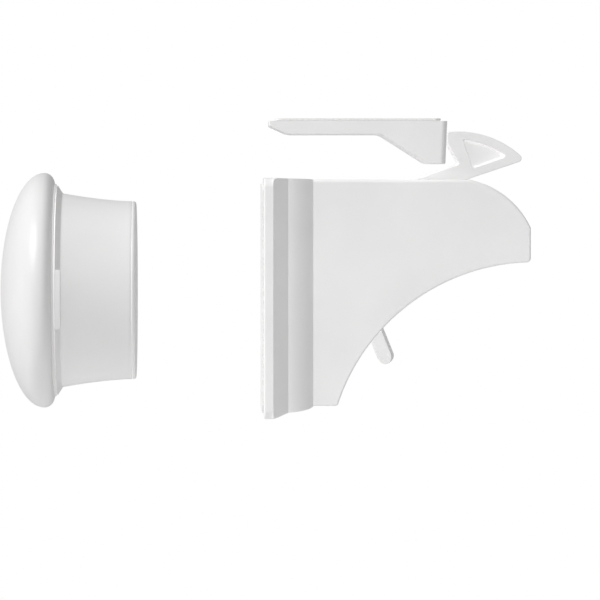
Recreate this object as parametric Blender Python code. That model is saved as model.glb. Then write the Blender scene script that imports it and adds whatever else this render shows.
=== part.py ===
"""Magnetic drawer lock set.

The lock sits behind a drawer front, its catch under the cabinet top, and the round key is held
against the outside of the drawer front. The key's magnet draws the latch's leg towards the front,
which drops the hook out of the catch.

X runs from the drawer front into the cabinet, with X = 0 on the inner face of the front.
Y runs across the lock, and Z = 0 is half way up its back plate.
"""

import math

import bmesh
import bpy
from mathutils import Matrix, Vector

MM = 0.001

# Fits
BOND_GAP = 0.1 * MM
SLIP_GAP = 0.15 * MM
RUN_GAP = 0.3 * MM
PIN_GAP = 0.08 * MM

# Drawer front that the lock and the key face, and the cabinet top above the catch
FRONT_THICKNESS = 18.0 * MM
KEY_STANDOFF = 10.2 * MM
CABINET_CLEARANCE = 13.7 * MM

# Adhesive pads
PAD_THICKNESS = 0.5 * MM
PAD_INSET = 1.4 * MM
PAD_CORNER = 2.0 * MM

# Back plate
PLATE_WIDTH = 36.0 * MM
PLATE_HEIGHT = 53.8 * MM
PLATE_THICKNESS = 1.9 * MM
PLATE_CORNER = 2.2 * MM
LOCATING_RIB_LENGTH = 12.0 * MM
LOCATING_RIB_THICKNESS = 1.2 * MM
LOCATING_RIB_HEIGHT = 1.8 * MM

# Housing: stepped base, then two cheeks round the latch
BASE_CHAMFER_DEPTH = 3.35 * MM
BASE_CORNER = 0.8 * MM
BASE_CHAMFER_SIDE = 3.4 * MM
BASE_CHAMFER_BOTTOM = 1.15 * MM
BASE_CHAMFER_TOP = 0.15 * MM
BASE_ROUND_DEPTH = 5.65 * MM
BASE_ROUND_BOTTOM = 1.5 * MM
BASE_ROUND_TOP = 0.25 * MM
BASE_ROUND_START = 12.0
BASE_ROUND_END = 80.0
HOUSING_WIDTH = 21.0 * MM
HOUSING_DEPTH = 60.4 * MM
HOUSING_WALL = 2.0 * MM
HOUSING_EDGE = 0.4 * MM
HOUSING_HEEL = 0.5 * MM
CROWN_RADIUS = 19.4 * MM
CROWN_CENTRE_BACK = 17.4 * MM
CROWN_RISE = 0.5 * MM
UNDERCUT_RADIUS = 46.3 * MM
UNDERCUT_CENTRE_AHEAD = 0.75 * MM
NOSE_HEIGHT = 18.55 * MM
NOSE_CORNER = 1.3 * MM
LATCH_SLOT_DEPTH = 1.2 * MM

# Latch
LATCH_PIVOT_X = 17.0 * MM
LATCH_PIVOT_DROP = 7.9 * MM
LATCH_SWING = math.radians(16.0)
ARM_LIP_CLEARANCE = 1.24 * MM
ARM_DEPTH = 3.8 * MM
ARM_WIDTH = 12.0 * MM
HUB_RADIUS = 4.0 * MM
HOOK_RISE = 0.73 * MM
HOOK_NOSE_HEIGHT = 2.4 * MM
HOOK_NOSE_CORNER = 0.4 * MM
HOOK_NOTCH_SETBACK = 2.8 * MM
HOOK_TOP_RADIUS = 20.9 * MM
HOOK_TOP_CENTRE_AHEAD = 2.5 * MM
HOOK_TIP_CORNER = 0.9 * MM
HOOK_POCKET_RIM = 1.5 * MM
HOOK_POCKET_DEPTH = 1.4 * MM
HOOK_POCKET_CORNER = 0.8 * MM
HOOK_POCKET_DRAFT = 0.5 * MM

# Latch magnet, carried by the leg below the pivot
MAGNET_RADIUS = 6.0 * MM
MAGNET_THICKNESS = 3.0 * MM
MAGNET_COVER_LIP = 0.7 * MM
MAGNET_COVER_THICKNESS = 0.8 * MM
MAGNET_CASE_SIZE = 15.4 * MM
MAGNET_CASE_FLOOR = 1.6 * MM
MAGNET_PULLED_CLEARANCE = 0.9 * MM
LEG_THICKNESS = 4.2 * MM

# Pins
LATCH_PIN_RADIUS = 1.5 * MM
SWITCH_PIN_RADIUS = 1.0 * MM
PIN_SOCKET_DEPTH = 1.2 * MM

# Latch spring
WIRE_RADIUS = 0.35 * MM
SPRING_RADIUS = 2.5 * MM
SPRING_PITCH = 1.2 * MM
SPRING_FULL_TURNS = 4
SPRING_POINTS_PER_TURN = 10
SPRING_ARM_LEG = 13.0 * MM
SPRING_SWITCH_LEG_SHORT = 3.6 * MM
SPRING_BAY_RADIUS = 5.0 * MM
SPRING_BAY_WIDTH = 6.2 * MM

# Off switch
SWITCH_PLACE = math.radians(137.0)
SWITCH_ON_ANGLE = math.radians(-68.0)
SWITCH_TURN = math.radians(40.0)
SWITCH_LEVER_LENGTH = 12.0 * MM
SWITCH_LEVER_THICKNESS = 3.4 * MM
SWITCH_LEVER_WIDTH = 7.0 * MM
SWITCH_LEVER_EDGE = 0.5 * MM
SWITCH_HUB_RADIUS = 2.2 * MM
SWITCH_CAM_THICKNESS = 1.7 * MM
SWITCH_CAM_CORNER = 0.4 * MM
SWITCH_CAM_OVERLAP = 3.0 * MM
SWITCH_CAM_OFFSET = 1.7 * MM

# Back plate screws
SCREW_INSET_Y = 5.5 * MM
SCREW_INSET_Z = 5.4 * MM
SCREW_RADIUS = 1.2 * MM
SCREW_HEAD_RADIUS = 2.4 * MM
SCREW_HEAD_DEPTH = 1.3 * MM
SCREW_LENGTH = 7.2 * MM
SCREW_POINT = 1.2 * MM

# Catch
CATCH_START_X = 1.7 * MM
CATCH_END_X = 41.5 * MM
CATCH_WIDTH = 28.0 * MM
CATCH_PLATE = 3.0 * MM
CATCH_TOE_HEIGHT = 1.1 * MM
CATCH_TOE_LENGTH = 4.1 * MM
CATCH_DROP = 9.6 * MM
CATCH_RAMP_START = 24.4 * MM
CATCH_LIP_LENGTH = 4.6 * MM
CATCH_DRAFT = 0.4 * MM
CATCH_WALL = 1.7 * MM
CATCH_EDGE = 1.3 * MM

# Key
KEY_AXIS_Z = 1.5 * MM
KEY_SIDES = 56
DOME_CROWN = 9.85 * MM
DOME_ROUND_DEPTH = 2.3 * MM
DOME_ROUND_STEP = 2.5 * MM
DOME_LIP_LENGTH = 0.4 * MM
DOME_LIP_STEP = 0.25 * MM
DOME_WALL = 2.2 * MM
GROOVE_WIDTH = 0.3 * MM
GROOVE_DEPTH = 1.6 * MM
SPIGOT_LENGTH = 3.6 * MM
SPIGOT_WALL = 1.8 * MM
FLANGE_STEP = 1.85 * MM
FLANGE_DEPTH = 1.15 * MM
STEM_TAPER = 1.8 * MM
STEM_END_RADIUS = 20.1 * MM
STEM_LENGTH = 15.7 * MM
STEM_FLARE = 1.6
STEM_WALL = 2.4 * MM
MAGNET_SHOULDER = 2.0 * MM
END_DISC_THICKNESS = 0.8 * MM
END_DISC_SPIGOT = 1.6 * MM
END_DISC_EDGE = 0.65 * MM
KEY_MAGNET_THICKNESS = 8.0 * MM
KEY_YOKE_THICKNESS = 2.2 * MM
TAB_COUNT = 2
TAB_ANGLE = math.radians(33.0)
TAB_TILT = math.radians(4.0)
TAB_DROP = 0.2 * MM

# Places that follow from the sizes above
PLATE_BACK_X = PAD_THICKNESS + BOND_GAP
PLATE_FRONT_X = PLATE_BACK_X + PLATE_THICKNESS
BASE_BACK_X = PLATE_FRONT_X + BOND_GAP
BASE_STEP_X = BASE_BACK_X + BASE_CHAMFER_DEPTH
PLATE_TOP_Z = PLATE_HEIGHT / 2
PLATE_LOW_Z = -PLATE_HEIGHT / 2
HOUSING_TOP_Z = PLATE_TOP_Z - BASE_CHAMFER_TOP - BASE_ROUND_TOP
HOUSING_LOW_Z = PLATE_LOW_Z + BASE_CHAMFER_BOTTOM + BASE_ROUND_BOTTOM
CHEEK_Y = HOUSING_WIDTH / 2
CAVITY_Y = CHEEK_Y - HOUSING_WALL
LATCH_PIVOT_Z = HOUSING_TOP_Z - LATCH_PIVOT_DROP
LATCH_PIVOT = Vector((LATCH_PIVOT_X, 0, LATCH_PIVOT_Z))
LATCH_SLOT_FLOOR_Z = LATCH_PIVOT_Z - LATCH_SLOT_DEPTH
CROWN_CENTRE = Vector((HOUSING_DEPTH - CROWN_CENTRE_BACK, 0, HOUSING_TOP_Z + CROWN_RISE - CROWN_RADIUS))
NOSE_LOW_Z = HOUSING_TOP_Z - NOSE_HEIGHT
UNDERCUT_CENTRE = Vector((HOUSING_DEPTH + UNDERCUT_CENTRE_AHEAD, 0, NOSE_LOW_Z - UNDERCUT_RADIUS))
ARM_Y = ARM_WIDTH / 2
CABINET_TOP_Z = HOUSING_TOP_Z + CABINET_CLEARANCE
CATCH_TOP_Z = CABINET_TOP_Z - PAD_THICKNESS - BOND_GAP
CATCH_LIP_Z = CATCH_TOP_Z - CATCH_DROP
HOOK_FACE_X = CATCH_END_X + RUN_GAP
KEY_FACE_X = -FRONT_THICKNESS - KEY_STANDOFF
KEY_BORE_RADIUS = STEM_END_RADIUS - STEM_WALL
STEM_ROOT_RADIUS = STEM_END_RADIUS + STEM_TAPER
FLANGE_RADIUS = STEM_ROOT_RADIUS + FLANGE_STEP
GROOVE_RADIUS = FLANGE_RADIUS - GROOVE_DEPTH
DOME_LIP_RADIUS = FLANGE_RADIUS + DOME_LIP_STEP
DOME_RADIUS = DOME_LIP_RADIUS + DOME_ROUND_STEP

WHITE = (0.86, 0.86, 0.85, 1.0)
FOAM = (0.90, 0.90, 0.88, 1.0)
STEEL = (0.62, 0.63, 0.64, 1.0)
NICKEL = (0.72, 0.71, 0.69, 1.0)


def direction(angle):
    """Unit vector in the XZ plane, with the angle measured from +X towards +Z."""
    return Vector((math.cos(angle), 0, math.sin(angle)))


def arc(centre, radius, start, end, steps):
    """Points of an arc in the XZ plane."""
    return [centre + radius * direction(start + (end - start) * i / steps) for i in range(steps + 1)]


def point(x, z):
    return Vector((x, 0, z))


def arm_angle():
    """Tilt that takes the top of the arm just under the corner of the catch's lip."""
    corner = point(CATCH_END_X - CATCH_DRAFT, CATCH_LIP_Z - ARM_LIP_CLEARANCE) - LATCH_PIVOT
    return math.atan2(corner.z, corner.x) - math.asin(ARM_DEPTH / 2 / corner.length)


def switch_pivot():
    """Pivot inside the curved underside, with the switch's hub just clear of the wall."""
    depth = HOUSING_WALL + SWITCH_HUB_RADIUS + PIN_GAP
    return UNDERCUT_CENTRE + (UNDERCUT_RADIUS + depth) * direction(SWITCH_PLACE)


def switch_leg():
    """Tilt and length of the spring's long leg, from the coil's right side past the switch's hub."""
    span = SWITCH_PIVOT - LATCH_PIVOT
    step = SPRING_RADIUS - SWITCH_CAM_OFFSET
    tilt = math.atan2(span.z, span.x) + math.acos(step / span.length)
    return tilt, math.sqrt(span.length_squared - step ** 2) - SPRING_SWITCH_LEG_SHORT


ARM_ANGLE = arm_angle()
SWITCH_PIVOT = switch_pivot()
SPRING_SWITCH_LEG_TILT, SPRING_SWITCH_LEG = switch_leg()


def rounded(corners, steps=4):
    """Outline through (point, radius) corners, each turned into an arc tangent to both sides."""
    outline = []
    for i, (corner, radius) in enumerate(corners):
        if radius == 0:
            outline.append(corner)
            continue
        to_last = (corners[i - 1][0] - corner).normalized()
        to_next = (corners[(i + 1) % len(corners)][0] - corner).normalized()
        half = to_last.angle(to_next) / 2
        centre = corner + (to_last + to_next).normalized() * radius / math.sin(half)
        first = corner + to_last * radius / math.tan(half) - centre
        last = corner + to_next * radius / math.tan(half) - centre
        for k in range(steps + 1):
            outline.append(centre + radius * first.slerp(last, k / steps))
    return outline


def tidy(bm):
    """Merge doubled points and turn every face outwards."""
    bmesh.ops.remove_doubles(bm, verts=bm.verts, dist=0.001 * MM)
    bmesh.ops.recalc_face_normals(bm, faces=bm.faces)
    if bm.calc_volume(signed=True) < 0:
        bmesh.ops.reverse_faces(bm, faces=bm.faces)
    return bm


def prism(outline, y_low, y_high):
    """Solid between y_low and y_high with an outline in the XZ plane."""
    bm = bmesh.new()
    face = bm.faces.new([bm.verts.new((p.x, y_low, p.z)) for p in outline])
    grown = bmesh.ops.extrude_face_region(bm, geom=[face])["geom"]
    moved = [v for v in grown if isinstance(v, bmesh.types.BMVert)]
    bmesh.ops.translate(bm, verts=moved, vec=(0, y_high - y_low, 0))
    return tidy(bm)


def box(low, high):
    bm = bmesh.new()
    bmesh.ops.create_cube(bm, size=1)
    bmesh.ops.scale(bm, vec=Vector(high) - Vector(low), verts=bm.verts)
    bmesh.ops.translate(bm, vec=(Vector(high) + Vector(low)) / 2, verts=bm.verts)
    return bm


def turned(profile, origin, axis, sides):
    """Solid of revolution: profile holds (distance along the axis, radius) from end to end."""
    bm = bmesh.new()
    path = [bm.verts.new((radius, 0, along)) for along, radius in profile]
    edges = [bm.edges.new(pair) for pair in zip(path, path[1:] + path[:1])]
    bmesh.ops.spin(bm, geom=path + edges, cent=(0, 0, 0), axis=(0, 0, 1), angle=2 * math.pi,
                   steps=sides, use_merge=True)
    tidy(bm)
    bmesh.ops.dissolve_degenerate(bm, dist=0.001 * MM, edges=bm.edges)
    turn = Vector((0, 0, 1)).rotation_difference(Vector(axis)).to_matrix().to_4x4()
    bmesh.ops.transform(bm, matrix=Matrix.Translation(origin) @ turn, verts=bm.verts)
    return tidy(bm)


def rod(origin, axis, start, end, radius, sides):
    """Round bar from start to end along the axis through origin."""
    bm = bmesh.new()
    bmesh.ops.create_cone(bm, cap_ends=True, segments=sides, radius1=radius, radius2=radius,
                          depth=end - start)
    bmesh.ops.translate(bm, vec=(0, 0, (start + end) / 2), verts=bm.verts)
    turn = Vector((0, 0, 1)).rotation_difference(Vector(axis)).to_matrix().to_4x4()
    bmesh.ops.transform(bm, matrix=Matrix.Translation(origin) @ turn, verts=bm.verts)
    return bm


def bevel_edges(bm, chosen, width, segments):
    edges = [e for e in bm.edges if chosen(e)]
    bmesh.ops.bevel(bm, geom=edges, offset=width, segments=segments, profile=0.5, affect="EDGES")
    return tidy(bm)


def make_group(name, origin):
    """Empty that carries the pieces of one body, placed on the body's joint."""
    empty = bpy.data.objects.new(name, None)
    empty.empty_display_size = 5 * MM
    empty.location = origin
    bpy.context.collection.objects.link(empty)
    return empty


def make_mesh(name, bm, origin):
    bmesh.ops.translate(bm, vec=-Vector(origin), verts=bm.verts)
    mesh = bpy.data.meshes.new(name)
    bm.to_mesh(mesh)
    bm.free()
    mesh.shade_smooth()
    mesh.set_sharp_from_angle(angle=math.radians(30))
    return mesh


def finish(name, colour, roughness, metallic):
    material = bpy.data.materials.new(name)
    material.use_nodes = True
    shader = material.node_tree.nodes["Principled BSDF"]
    shader.inputs["Base Color"].default_value = colour
    shader.inputs["Roughness"].default_value = roughness
    shader.inputs["Metallic"].default_value = metallic
    return material


def add_object(name, data, group, look):
    """Visible piece in its group, with its own material."""
    piece = bpy.data.objects.new(name, data)
    bpy.context.collection.objects.link(piece)
    piece.parent = group
    data.materials.append(finish(name, *look))
    return piece


def make_piece(name, bm, group, look):
    return add_object(name, make_mesh(name, bm, group.location), group, look)


def combine(piece, bm, operation):
    """Hidden solid that a Boolean joins to the piece or takes from it."""
    name = f"{piece.name}_{operation.lower()}_{len(piece.modifiers) + 1}"
    tool = bpy.data.objects.new(name, make_mesh(name, bm, piece.parent.location))
    bpy.context.collection.objects.link(tool)
    tool.parent = piece
    tool.hide_render = True
    tool.display_type = "WIRE"
    modifier = piece.modifiers.new(name, "BOOLEAN")
    modifier.operation = operation
    modifier.solver = "EXACT"
    modifier.object = tool


def join(piece, bm):
    combine(piece, bm, "UNION")


def cut(piece, bm):
    combine(piece, bm, "DIFFERENCE")


PLASTIC = (WHITE, 0.45, 0.0)
GLOSS = (WHITE, 0.22, 0.0)
PAD = (FOAM, 0.85, 0.0)
METAL = (STEEL, 0.3, 1.0)
PLATED = (NICKEL, 0.2, 1.0)


def plate_loop(x, side, low, high, corner):
    """Rounded rectangle across X, as one loop of points."""
    flat = rounded([(point(-side, low), corner), (point(side, low), corner),
                    (point(side, high), corner), (point(-side, high), corner)])
    return [Vector((x, p.x, p.z)) for p in flat]


def loft(loops):
    """Solid through a row of loops with the same number of points, closed at both ends."""
    bm = bmesh.new()
    rings = [[bm.verts.new(p) for p in loop] for loop in loops]
    for ring in rings:
        for a, b in zip(ring, ring[1:] + ring[:1]):
            bm.edges.new((a, b))
    for near, far in zip(rings, rings[1:]):
        near_edges = [bm.edges.get(pair) for pair in zip(near, near[1:] + near[:1])]
        far_edges = [bm.edges.get(pair) for pair in zip(far, far[1:] + far[:1])]
        bmesh.ops.bridge_loops(bm, edges=near_edges + far_edges)
    bm.faces.new(rings[0])
    bm.faces.new(rings[-1])
    return tidy(bm)


def screw_places():
    side = PLATE_WIDTH / 2 - SCREW_INSET_Y
    reach = PLATE_HEIGHT / 2 - SCREW_INSET_Z
    return [(y, z) for z in (reach, -reach) for y in (-side, side)]


def screw_profile(gap):
    """Countersunk screw along +X from the plate's back face, grown by a gap all round."""
    head = SCREW_HEAD_RADIUS + gap
    shank = SCREW_RADIUS + gap
    return [(0, 0), (0, head), (SCREW_HEAD_DEPTH, shank), (SCREW_LENGTH - SCREW_POINT, shank),
            (SCREW_LENGTH + gap, 0.3 * SCREW_RADIUS), (SCREW_LENGTH + gap, 0)]


def make_screws(group):
    for number, (y, z) in enumerate(screw_places(), start=1):
        place = (PLATE_BACK_X + SLIP_GAP, y, z)
        screw = turned(screw_profile(0), place, (1, 0, 0), 16)
        make_piece(f"back_plate_screw_{number}", screw, group, METAL)


def cut_screw_holes(piece):
    for y, z in screw_places():
        place = (PLATE_BACK_X - BOND_GAP, y, z)
        cut(piece, turned(screw_profile(2 * SLIP_GAP), place, (1, 0, 0), 16))


def make_lock_pad(group):
    side = PLATE_WIDTH / 2 - PAD_INSET
    reach = PLATE_HEIGHT / 2 - PAD_INSET
    pad = loft([plate_loop(x, side, -reach, reach, PAD_CORNER) for x in (0, PAD_THICKNESS)])
    make_piece("lock_adhesive_pad", pad, group, PAD)


def make_back_plate(group):
    side = PLATE_WIDTH / 2
    loops = [plate_loop(x, side, PLATE_LOW_Z, PLATE_TOP_Z, PLATE_CORNER)
             for x in (PLATE_BACK_X, PLATE_FRONT_X)]
    plate = make_piece("back_plate", loft(loops), group, PLASTIC)
    cavity_low = HOUSING_LOW_Z + HOUSING_WALL
    cavity_top = HOUSING_TOP_Z - HOUSING_WALL
    for z in (cavity_low + SLIP_GAP, cavity_top - SLIP_GAP - LOCATING_RIB_THICKNESS):
        low = (PLATE_FRONT_X - PLATE_THICKNESS / 2, -LOCATING_RIB_LENGTH / 2, z)
        high = (PLATE_FRONT_X + LOCATING_RIB_HEIGHT, LOCATING_RIB_LENGTH / 2, z + LOCATING_RIB_THICKNESS)
        join(plate, box(low, high))
    cut_screw_holes(plate)


def base_loops():
    """Stepped base: a plain chamfer, then a rounded shoulder down to the cheeks."""
    side = PLATE_WIDTH / 2
    low, high = PLATE_LOW_Z, PLATE_TOP_Z
    loops = [plate_loop(BASE_BACK_X, side, low, high, BASE_CORNER)]
    side -= BASE_CHAMFER_SIDE
    low += BASE_CHAMFER_BOTTOM
    high -= BASE_CHAMFER_TOP
    round_side = side - CHEEK_Y
    start, end = math.radians(BASE_ROUND_START), math.radians(BASE_ROUND_END)
    steps = 6
    for i in range(steps + 1):
        angle = start + (end - start) * i / steps
        along = (math.sin(angle) - math.sin(start)) / (math.sin(end) - math.sin(start))
        inward = (math.cos(start) - math.cos(angle)) / (math.cos(start) - math.cos(end))
        loops.append(plate_loop(BASE_STEP_X + BASE_ROUND_DEPTH * along, side - round_side * inward,
                                low + BASE_ROUND_BOTTOM * inward, high - BASE_ROUND_TOP * inward,
                                BASE_CORNER))
    return loops


def housing_outline(inset, back_x):
    """Side view of the cheeks, drawn in by a wall thickness for the hollow inside."""
    low, high = HOUSING_LOW_Z + inset, HOUSING_TOP_Z - inset
    front = HOUSING_DEPTH - inset
    crown, crown_radius = CROWN_CENTRE, CROWN_RADIUS - inset
    under, under_radius = UNDERCUT_CENTRE, UNDERCUT_RADIUS + inset
    heel = math.pi - math.asin((low - under.z) / under_radius)
    toe = math.acos((front - NOSE_CORNER - under.x) / under_radius)
    underside = arc(under, under_radius, heel, toe, 18)
    crown_front = math.acos(min(1, (front - crown.x) / crown_radius))
    crown_top = math.asin(min(1, (high - crown.z) / crown_radius))
    nose = rounded([(underside[-1], 0), (point(front, underside[-1].z), NOSE_CORNER),
                    (point(front, crown.z + crown_radius * math.sin(crown_front)), 0)])
    heel_round = rounded([(point(back_x, low), 0), (underside[0], HOUSING_HEEL), (underside[1], 0)])
    return (heel_round[:-1] + underside[1:-1] + nose[:-1]
            + arc(crown, crown_radius, crown_front, crown_top, 10) + [point(back_x, high)])


def switch_slot():
    """Sweep of the off switch's lever through the curved underside."""
    off_angle = SWITCH_ON_ANGLE + SWITCH_TURN
    half = SWITCH_LEVER_THICKNESS / 2 + RUN_GAP
    reach = SWITCH_LEVER_LENGTH + HOUSING_WALL
    low = SWITCH_PIVOT + half * direction(SWITCH_ON_ANGLE - math.pi / 2)
    high = SWITCH_PIVOT + half * direction(off_angle + math.pi / 2)
    return [low, low + reach * direction(SWITCH_ON_ANGLE), high + reach * direction(off_angle), high]


def arm_top_x(z):
    """X where the top of the latch's arm passes the level z."""
    return LATCH_PIVOT_X + (z - LATCH_PIVOT_Z - ARM_DEPTH / 2 / math.cos(ARM_ANGLE)) / math.tan(ARM_ANGLE)


def make_housing(group):
    housing = make_piece("lock_housing", loft(base_loops()), group, PLASTIC)
    body = prism(housing_outline(0, BASE_STEP_X), -CHEEK_Y, CHEEK_Y)
    body = bevel_edges(body, lambda e: abs(e.verts[0].co.y) > CAVITY_Y and
                       abs(e.verts[0].co.y - e.verts[1].co.y) < BOND_GAP and
                       min(v.co.x for v in e.verts) > BASE_STEP_X + BOND_GAP, HOUSING_EDGE, 2)
    join(housing, body)
    cut(housing, prism(housing_outline(HOUSING_WALL, PLATE_BACK_X), -CAVITY_Y, CAVITY_Y))
    slot_y = ARM_Y + 2 * RUN_GAP
    slot_start = arm_top_x(HOUSING_TOP_Z - HOUSING_WALL) - RUN_GAP
    cut(housing, box((slot_start, -slot_y, LATCH_SLOT_FLOOR_Z),
                     (HOUSING_DEPTH + HOUSING_WALL, slot_y, HOUSING_TOP_Z + HOUSING_WALL)))
    lever_y = SWITCH_LEVER_WIDTH / 2 + RUN_GAP
    cut(housing, prism(switch_slot(), -lever_y, lever_y))
    for pivot, radius in ((LATCH_PIVOT, LATCH_PIN_RADIUS), (SWITCH_PIVOT, SWITCH_PIN_RADIUS)):
        cut(housing, rod(pivot, (0, 1, 0), -CAVITY_Y - PIN_SOCKET_DEPTH, CHEEK_Y + HOUSING_WALL,
                         radius + PIN_GAP, 20))
    cut_screw_holes(housing)


def make_pin(name, pivot, radius, group):
    start = -CAVITY_Y - PIN_SOCKET_DEPTH + SLIP_GAP
    make_piece(name, rod(pivot, (0, 1, 0), start, CHEEK_Y - SLIP_GAP, radius, 20), group, METAL)


def arm_line(along, offset):
    """Point beside the arm's centre line, which runs through the pivot."""
    return LATCH_PIVOT + along * direction(ARM_ANGLE) + offset * direction(ARM_ANGLE + math.pi / 2)


def hook_corners():
    """Corners of the hook: nose face, undercut, arched back and tip, with their roundings."""
    half = ARM_DEPTH / 2
    notch_x = HOOK_FACE_X + HOOK_NOTCH_SETBACK
    notch = arm_line((notch_x - LATCH_PIVOT_X + half * math.sin(ARM_ANGLE)) / math.cos(ARM_ANGLE), half)
    top_z = CATCH_TOP_Z - CATCH_PLATE + HOOK_RISE
    centre = point(HOOK_FACE_X + HOOK_TOP_CENTRE_AHEAD, top_z - HOOK_TOP_RADIUS)
    crest = centre.z + math.sqrt(HOOK_TOP_RADIUS ** 2 - HOOK_TOP_CENTRE_AHEAD ** 2)
    base = arm_line(0, -half) - centre
    along = direction(ARM_ANGLE)
    reach = -base.dot(along) + math.sqrt(base.dot(along) ** 2 - base.length_squared + HOOK_TOP_RADIUS ** 2)
    tip = arm_line(reach, -half)
    return notch, crest, centre, tip


def arm_outline():
    notch, crest, centre, tip = hook_corners()
    half = ARM_DEPTH / 2
    end_angle = math.atan2(tip.z - centre.z, tip.x - centre.x)
    start_angle = math.atan2(crest - centre.z, HOOK_FACE_X - centre.x)
    end_angle += 3 * HOOK_TIP_CORNER / HOOK_TOP_RADIUS
    back = arc(centre, HOOK_TOP_RADIUS, start_angle, end_angle, 12)
    corners = [(arm_line(0, half), 0), (notch, HOOK_NOSE_CORNER),
               (point(HOOK_FACE_X, crest - HOOK_NOSE_HEIGHT), HOOK_NOSE_CORNER),
               (back[0], HOOK_NOSE_CORNER)]
    corners += [(p, 0) for p in back[1:]]
    corners += [(tip, HOOK_TIP_CORNER), (arm_line(0, -half), 0)]
    return rounded(corners)


def hook_pocket():
    """Three-cornered recess in the side of the hook, a rim's width inside its edges."""
    notch, crest, centre, tip = hook_corners()
    inner = HOOK_TOP_RADIUS - HOOK_POCKET_RIM
    first = point(HOOK_FACE_X + 2.2 * HOOK_POCKET_RIM, crest - 1.35 * HOOK_POCKET_RIM)
    last = centre + inner * direction(math.atan2(tip.z - centre.z, tip.x - centre.x) + math.radians(8))
    low = notch + 2.2 * HOOK_POCKET_RIM * direction(-ARM_ANGLE)
    middle = centre + inner * direction(math.radians(76))
    corner = HOOK_POCKET_CORNER
    return rounded([(first, corner), (low, corner), (last, corner), (middle, 0)])


def pocket_cutter(side):
    """Recess cutter for one side of the hook: its walls lean outwards by the draft."""
    mouth = hook_pocket()
    middle = sum(mouth, Vector()) / len(mouth)
    lean = HOOK_POCKET_DRAFT / (sum((p - middle).length for p in mouth) / len(mouth))
    loops = []
    for way in (-1, 1):
        y = side * (ARM_Y + way * HOOK_POCKET_DEPTH)
        loops.append([middle + (1 + way * lean) * (p - middle) + Vector((0, y, 0)) for p in mouth])
    return loft(loops)


def pulled_to_rest(x, z):
    """Place, seen from the pivot with the hook down, carried back to where it is at rest."""
    turn = Matrix.Rotation(-LATCH_SWING, 3, "Y")
    return LATCH_PIVOT + turn @ Vector((x, 0, z))


def magnet_frame():
    """Outer face of the magnet's cover at rest, and the way that the magnet looks."""
    face_x = PLATE_FRONT_X + MAGNET_PULLED_CLEARANCE - LATCH_PIVOT_X
    face = pulled_to_rest(face_x, KEY_AXIS_Z - LATCH_PIVOT_Z)
    inward = pulled_to_rest(1, 0) - LATCH_PIVOT
    return face, inward


def leg_outline():
    """Strut from the hub down to the magnet's case."""
    case_x = PLATE_FRONT_X + MAGNET_PULLED_CLEARANCE - LATCH_PIVOT_X
    case_depth = MAGNET_COVER_THICKNESS + MAGNET_THICKNESS + MAGNET_CASE_FLOOR + 2 * BOND_GAP
    case_top = KEY_AXIS_Z - LATCH_PIVOT_Z + MAGNET_CASE_SIZE / 2
    back = case_x + case_depth
    places = [(-0.75 * HUB_RADIUS, 0.6 * HUB_RADIUS), (back - LEG_THICKNESS, case_top),
              (back - LEG_THICKNESS, case_top - LEG_THICKNESS), (back, case_top - LEG_THICKNESS),
              (0.6 * HUB_RADIUS, -0.75 * HUB_RADIUS)]
    return [pulled_to_rest(x, z) for x, z in places]


def make_latch(group):
    latch = make_piece("latch_arm", prism(arm_outline(), -ARM_Y, ARM_Y), group, PLASTIC)
    hub_y = CAVITY_Y - RUN_GAP
    join(latch, rod(LATCH_PIVOT, (0, 1, 0), -hub_y, hub_y, HUB_RADIUS, 28))
    join(latch, prism(leg_outline(), -ARM_Y, ARM_Y))
    face, inward = magnet_frame()
    case_depth = MAGNET_COVER_THICKNESS + MAGNET_THICKNESS + MAGNET_CASE_FLOOR + 2 * BOND_GAP
    upward = MAGNET_CASE_SIZE / 2 * Vector((-inward.z, 0, inward.x))
    case = [(face + upward, 1 * MM), (face - upward, 1 * MM),
            (face - upward + case_depth * inward, 1 * MM), (face + upward + case_depth * inward, 0)]
    join(latch, prism(rounded(case), -MAGNET_CASE_SIZE / 2, MAGNET_CASE_SIZE / 2))
    bay_y = SPRING_BAY_WIDTH / 2
    cut(latch, rod(LATCH_PIVOT, (0, 1, 0), -bay_y, bay_y, SPRING_BAY_RADIUS, 28))
    cut(latch, rod(LATCH_PIVOT, (0, 1, 0), -CHEEK_Y, CHEEK_Y, LATCH_PIN_RADIUS + PIN_GAP, 20))
    cover_radius = MAGNET_RADIUS + MAGNET_COVER_LIP
    seat = MAGNET_COVER_THICKNESS + BOND_GAP
    cut(latch, rod(face, inward, -MAGNET_THICKNESS, seat, cover_radius + SLIP_GAP, 32))
    cut(latch, rod(face, inward, 0, seat + MAGNET_THICKNESS + BOND_GAP, MAGNET_RADIUS + SLIP_GAP, 32))
    for side in (-1, 1):
        cut(latch, pocket_cutter(side))
    cover = rod(face, inward, 0, MAGNET_COVER_THICKNESS, cover_radius, 32)
    make_piece("latch_magnet_cover", cover, group, PLASTIC)
    magnet = rod(face, inward, seat, seat + MAGNET_THICKNESS, MAGNET_RADIUS, 32)
    make_piece("latch_magnet", magnet, group, PLATED)


def spring_ends():
    """Where the two legs of the spring leave its coil, as angles round the pin."""
    return SPRING_SWITCH_LEG_TILT, ARM_ANGLE - math.pi / 2 + 2 * math.pi * SPRING_FULL_TURNS


def switch_leg_way():
    return direction(SPRING_SWITCH_LEG_TILT - math.pi / 2)


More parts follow.
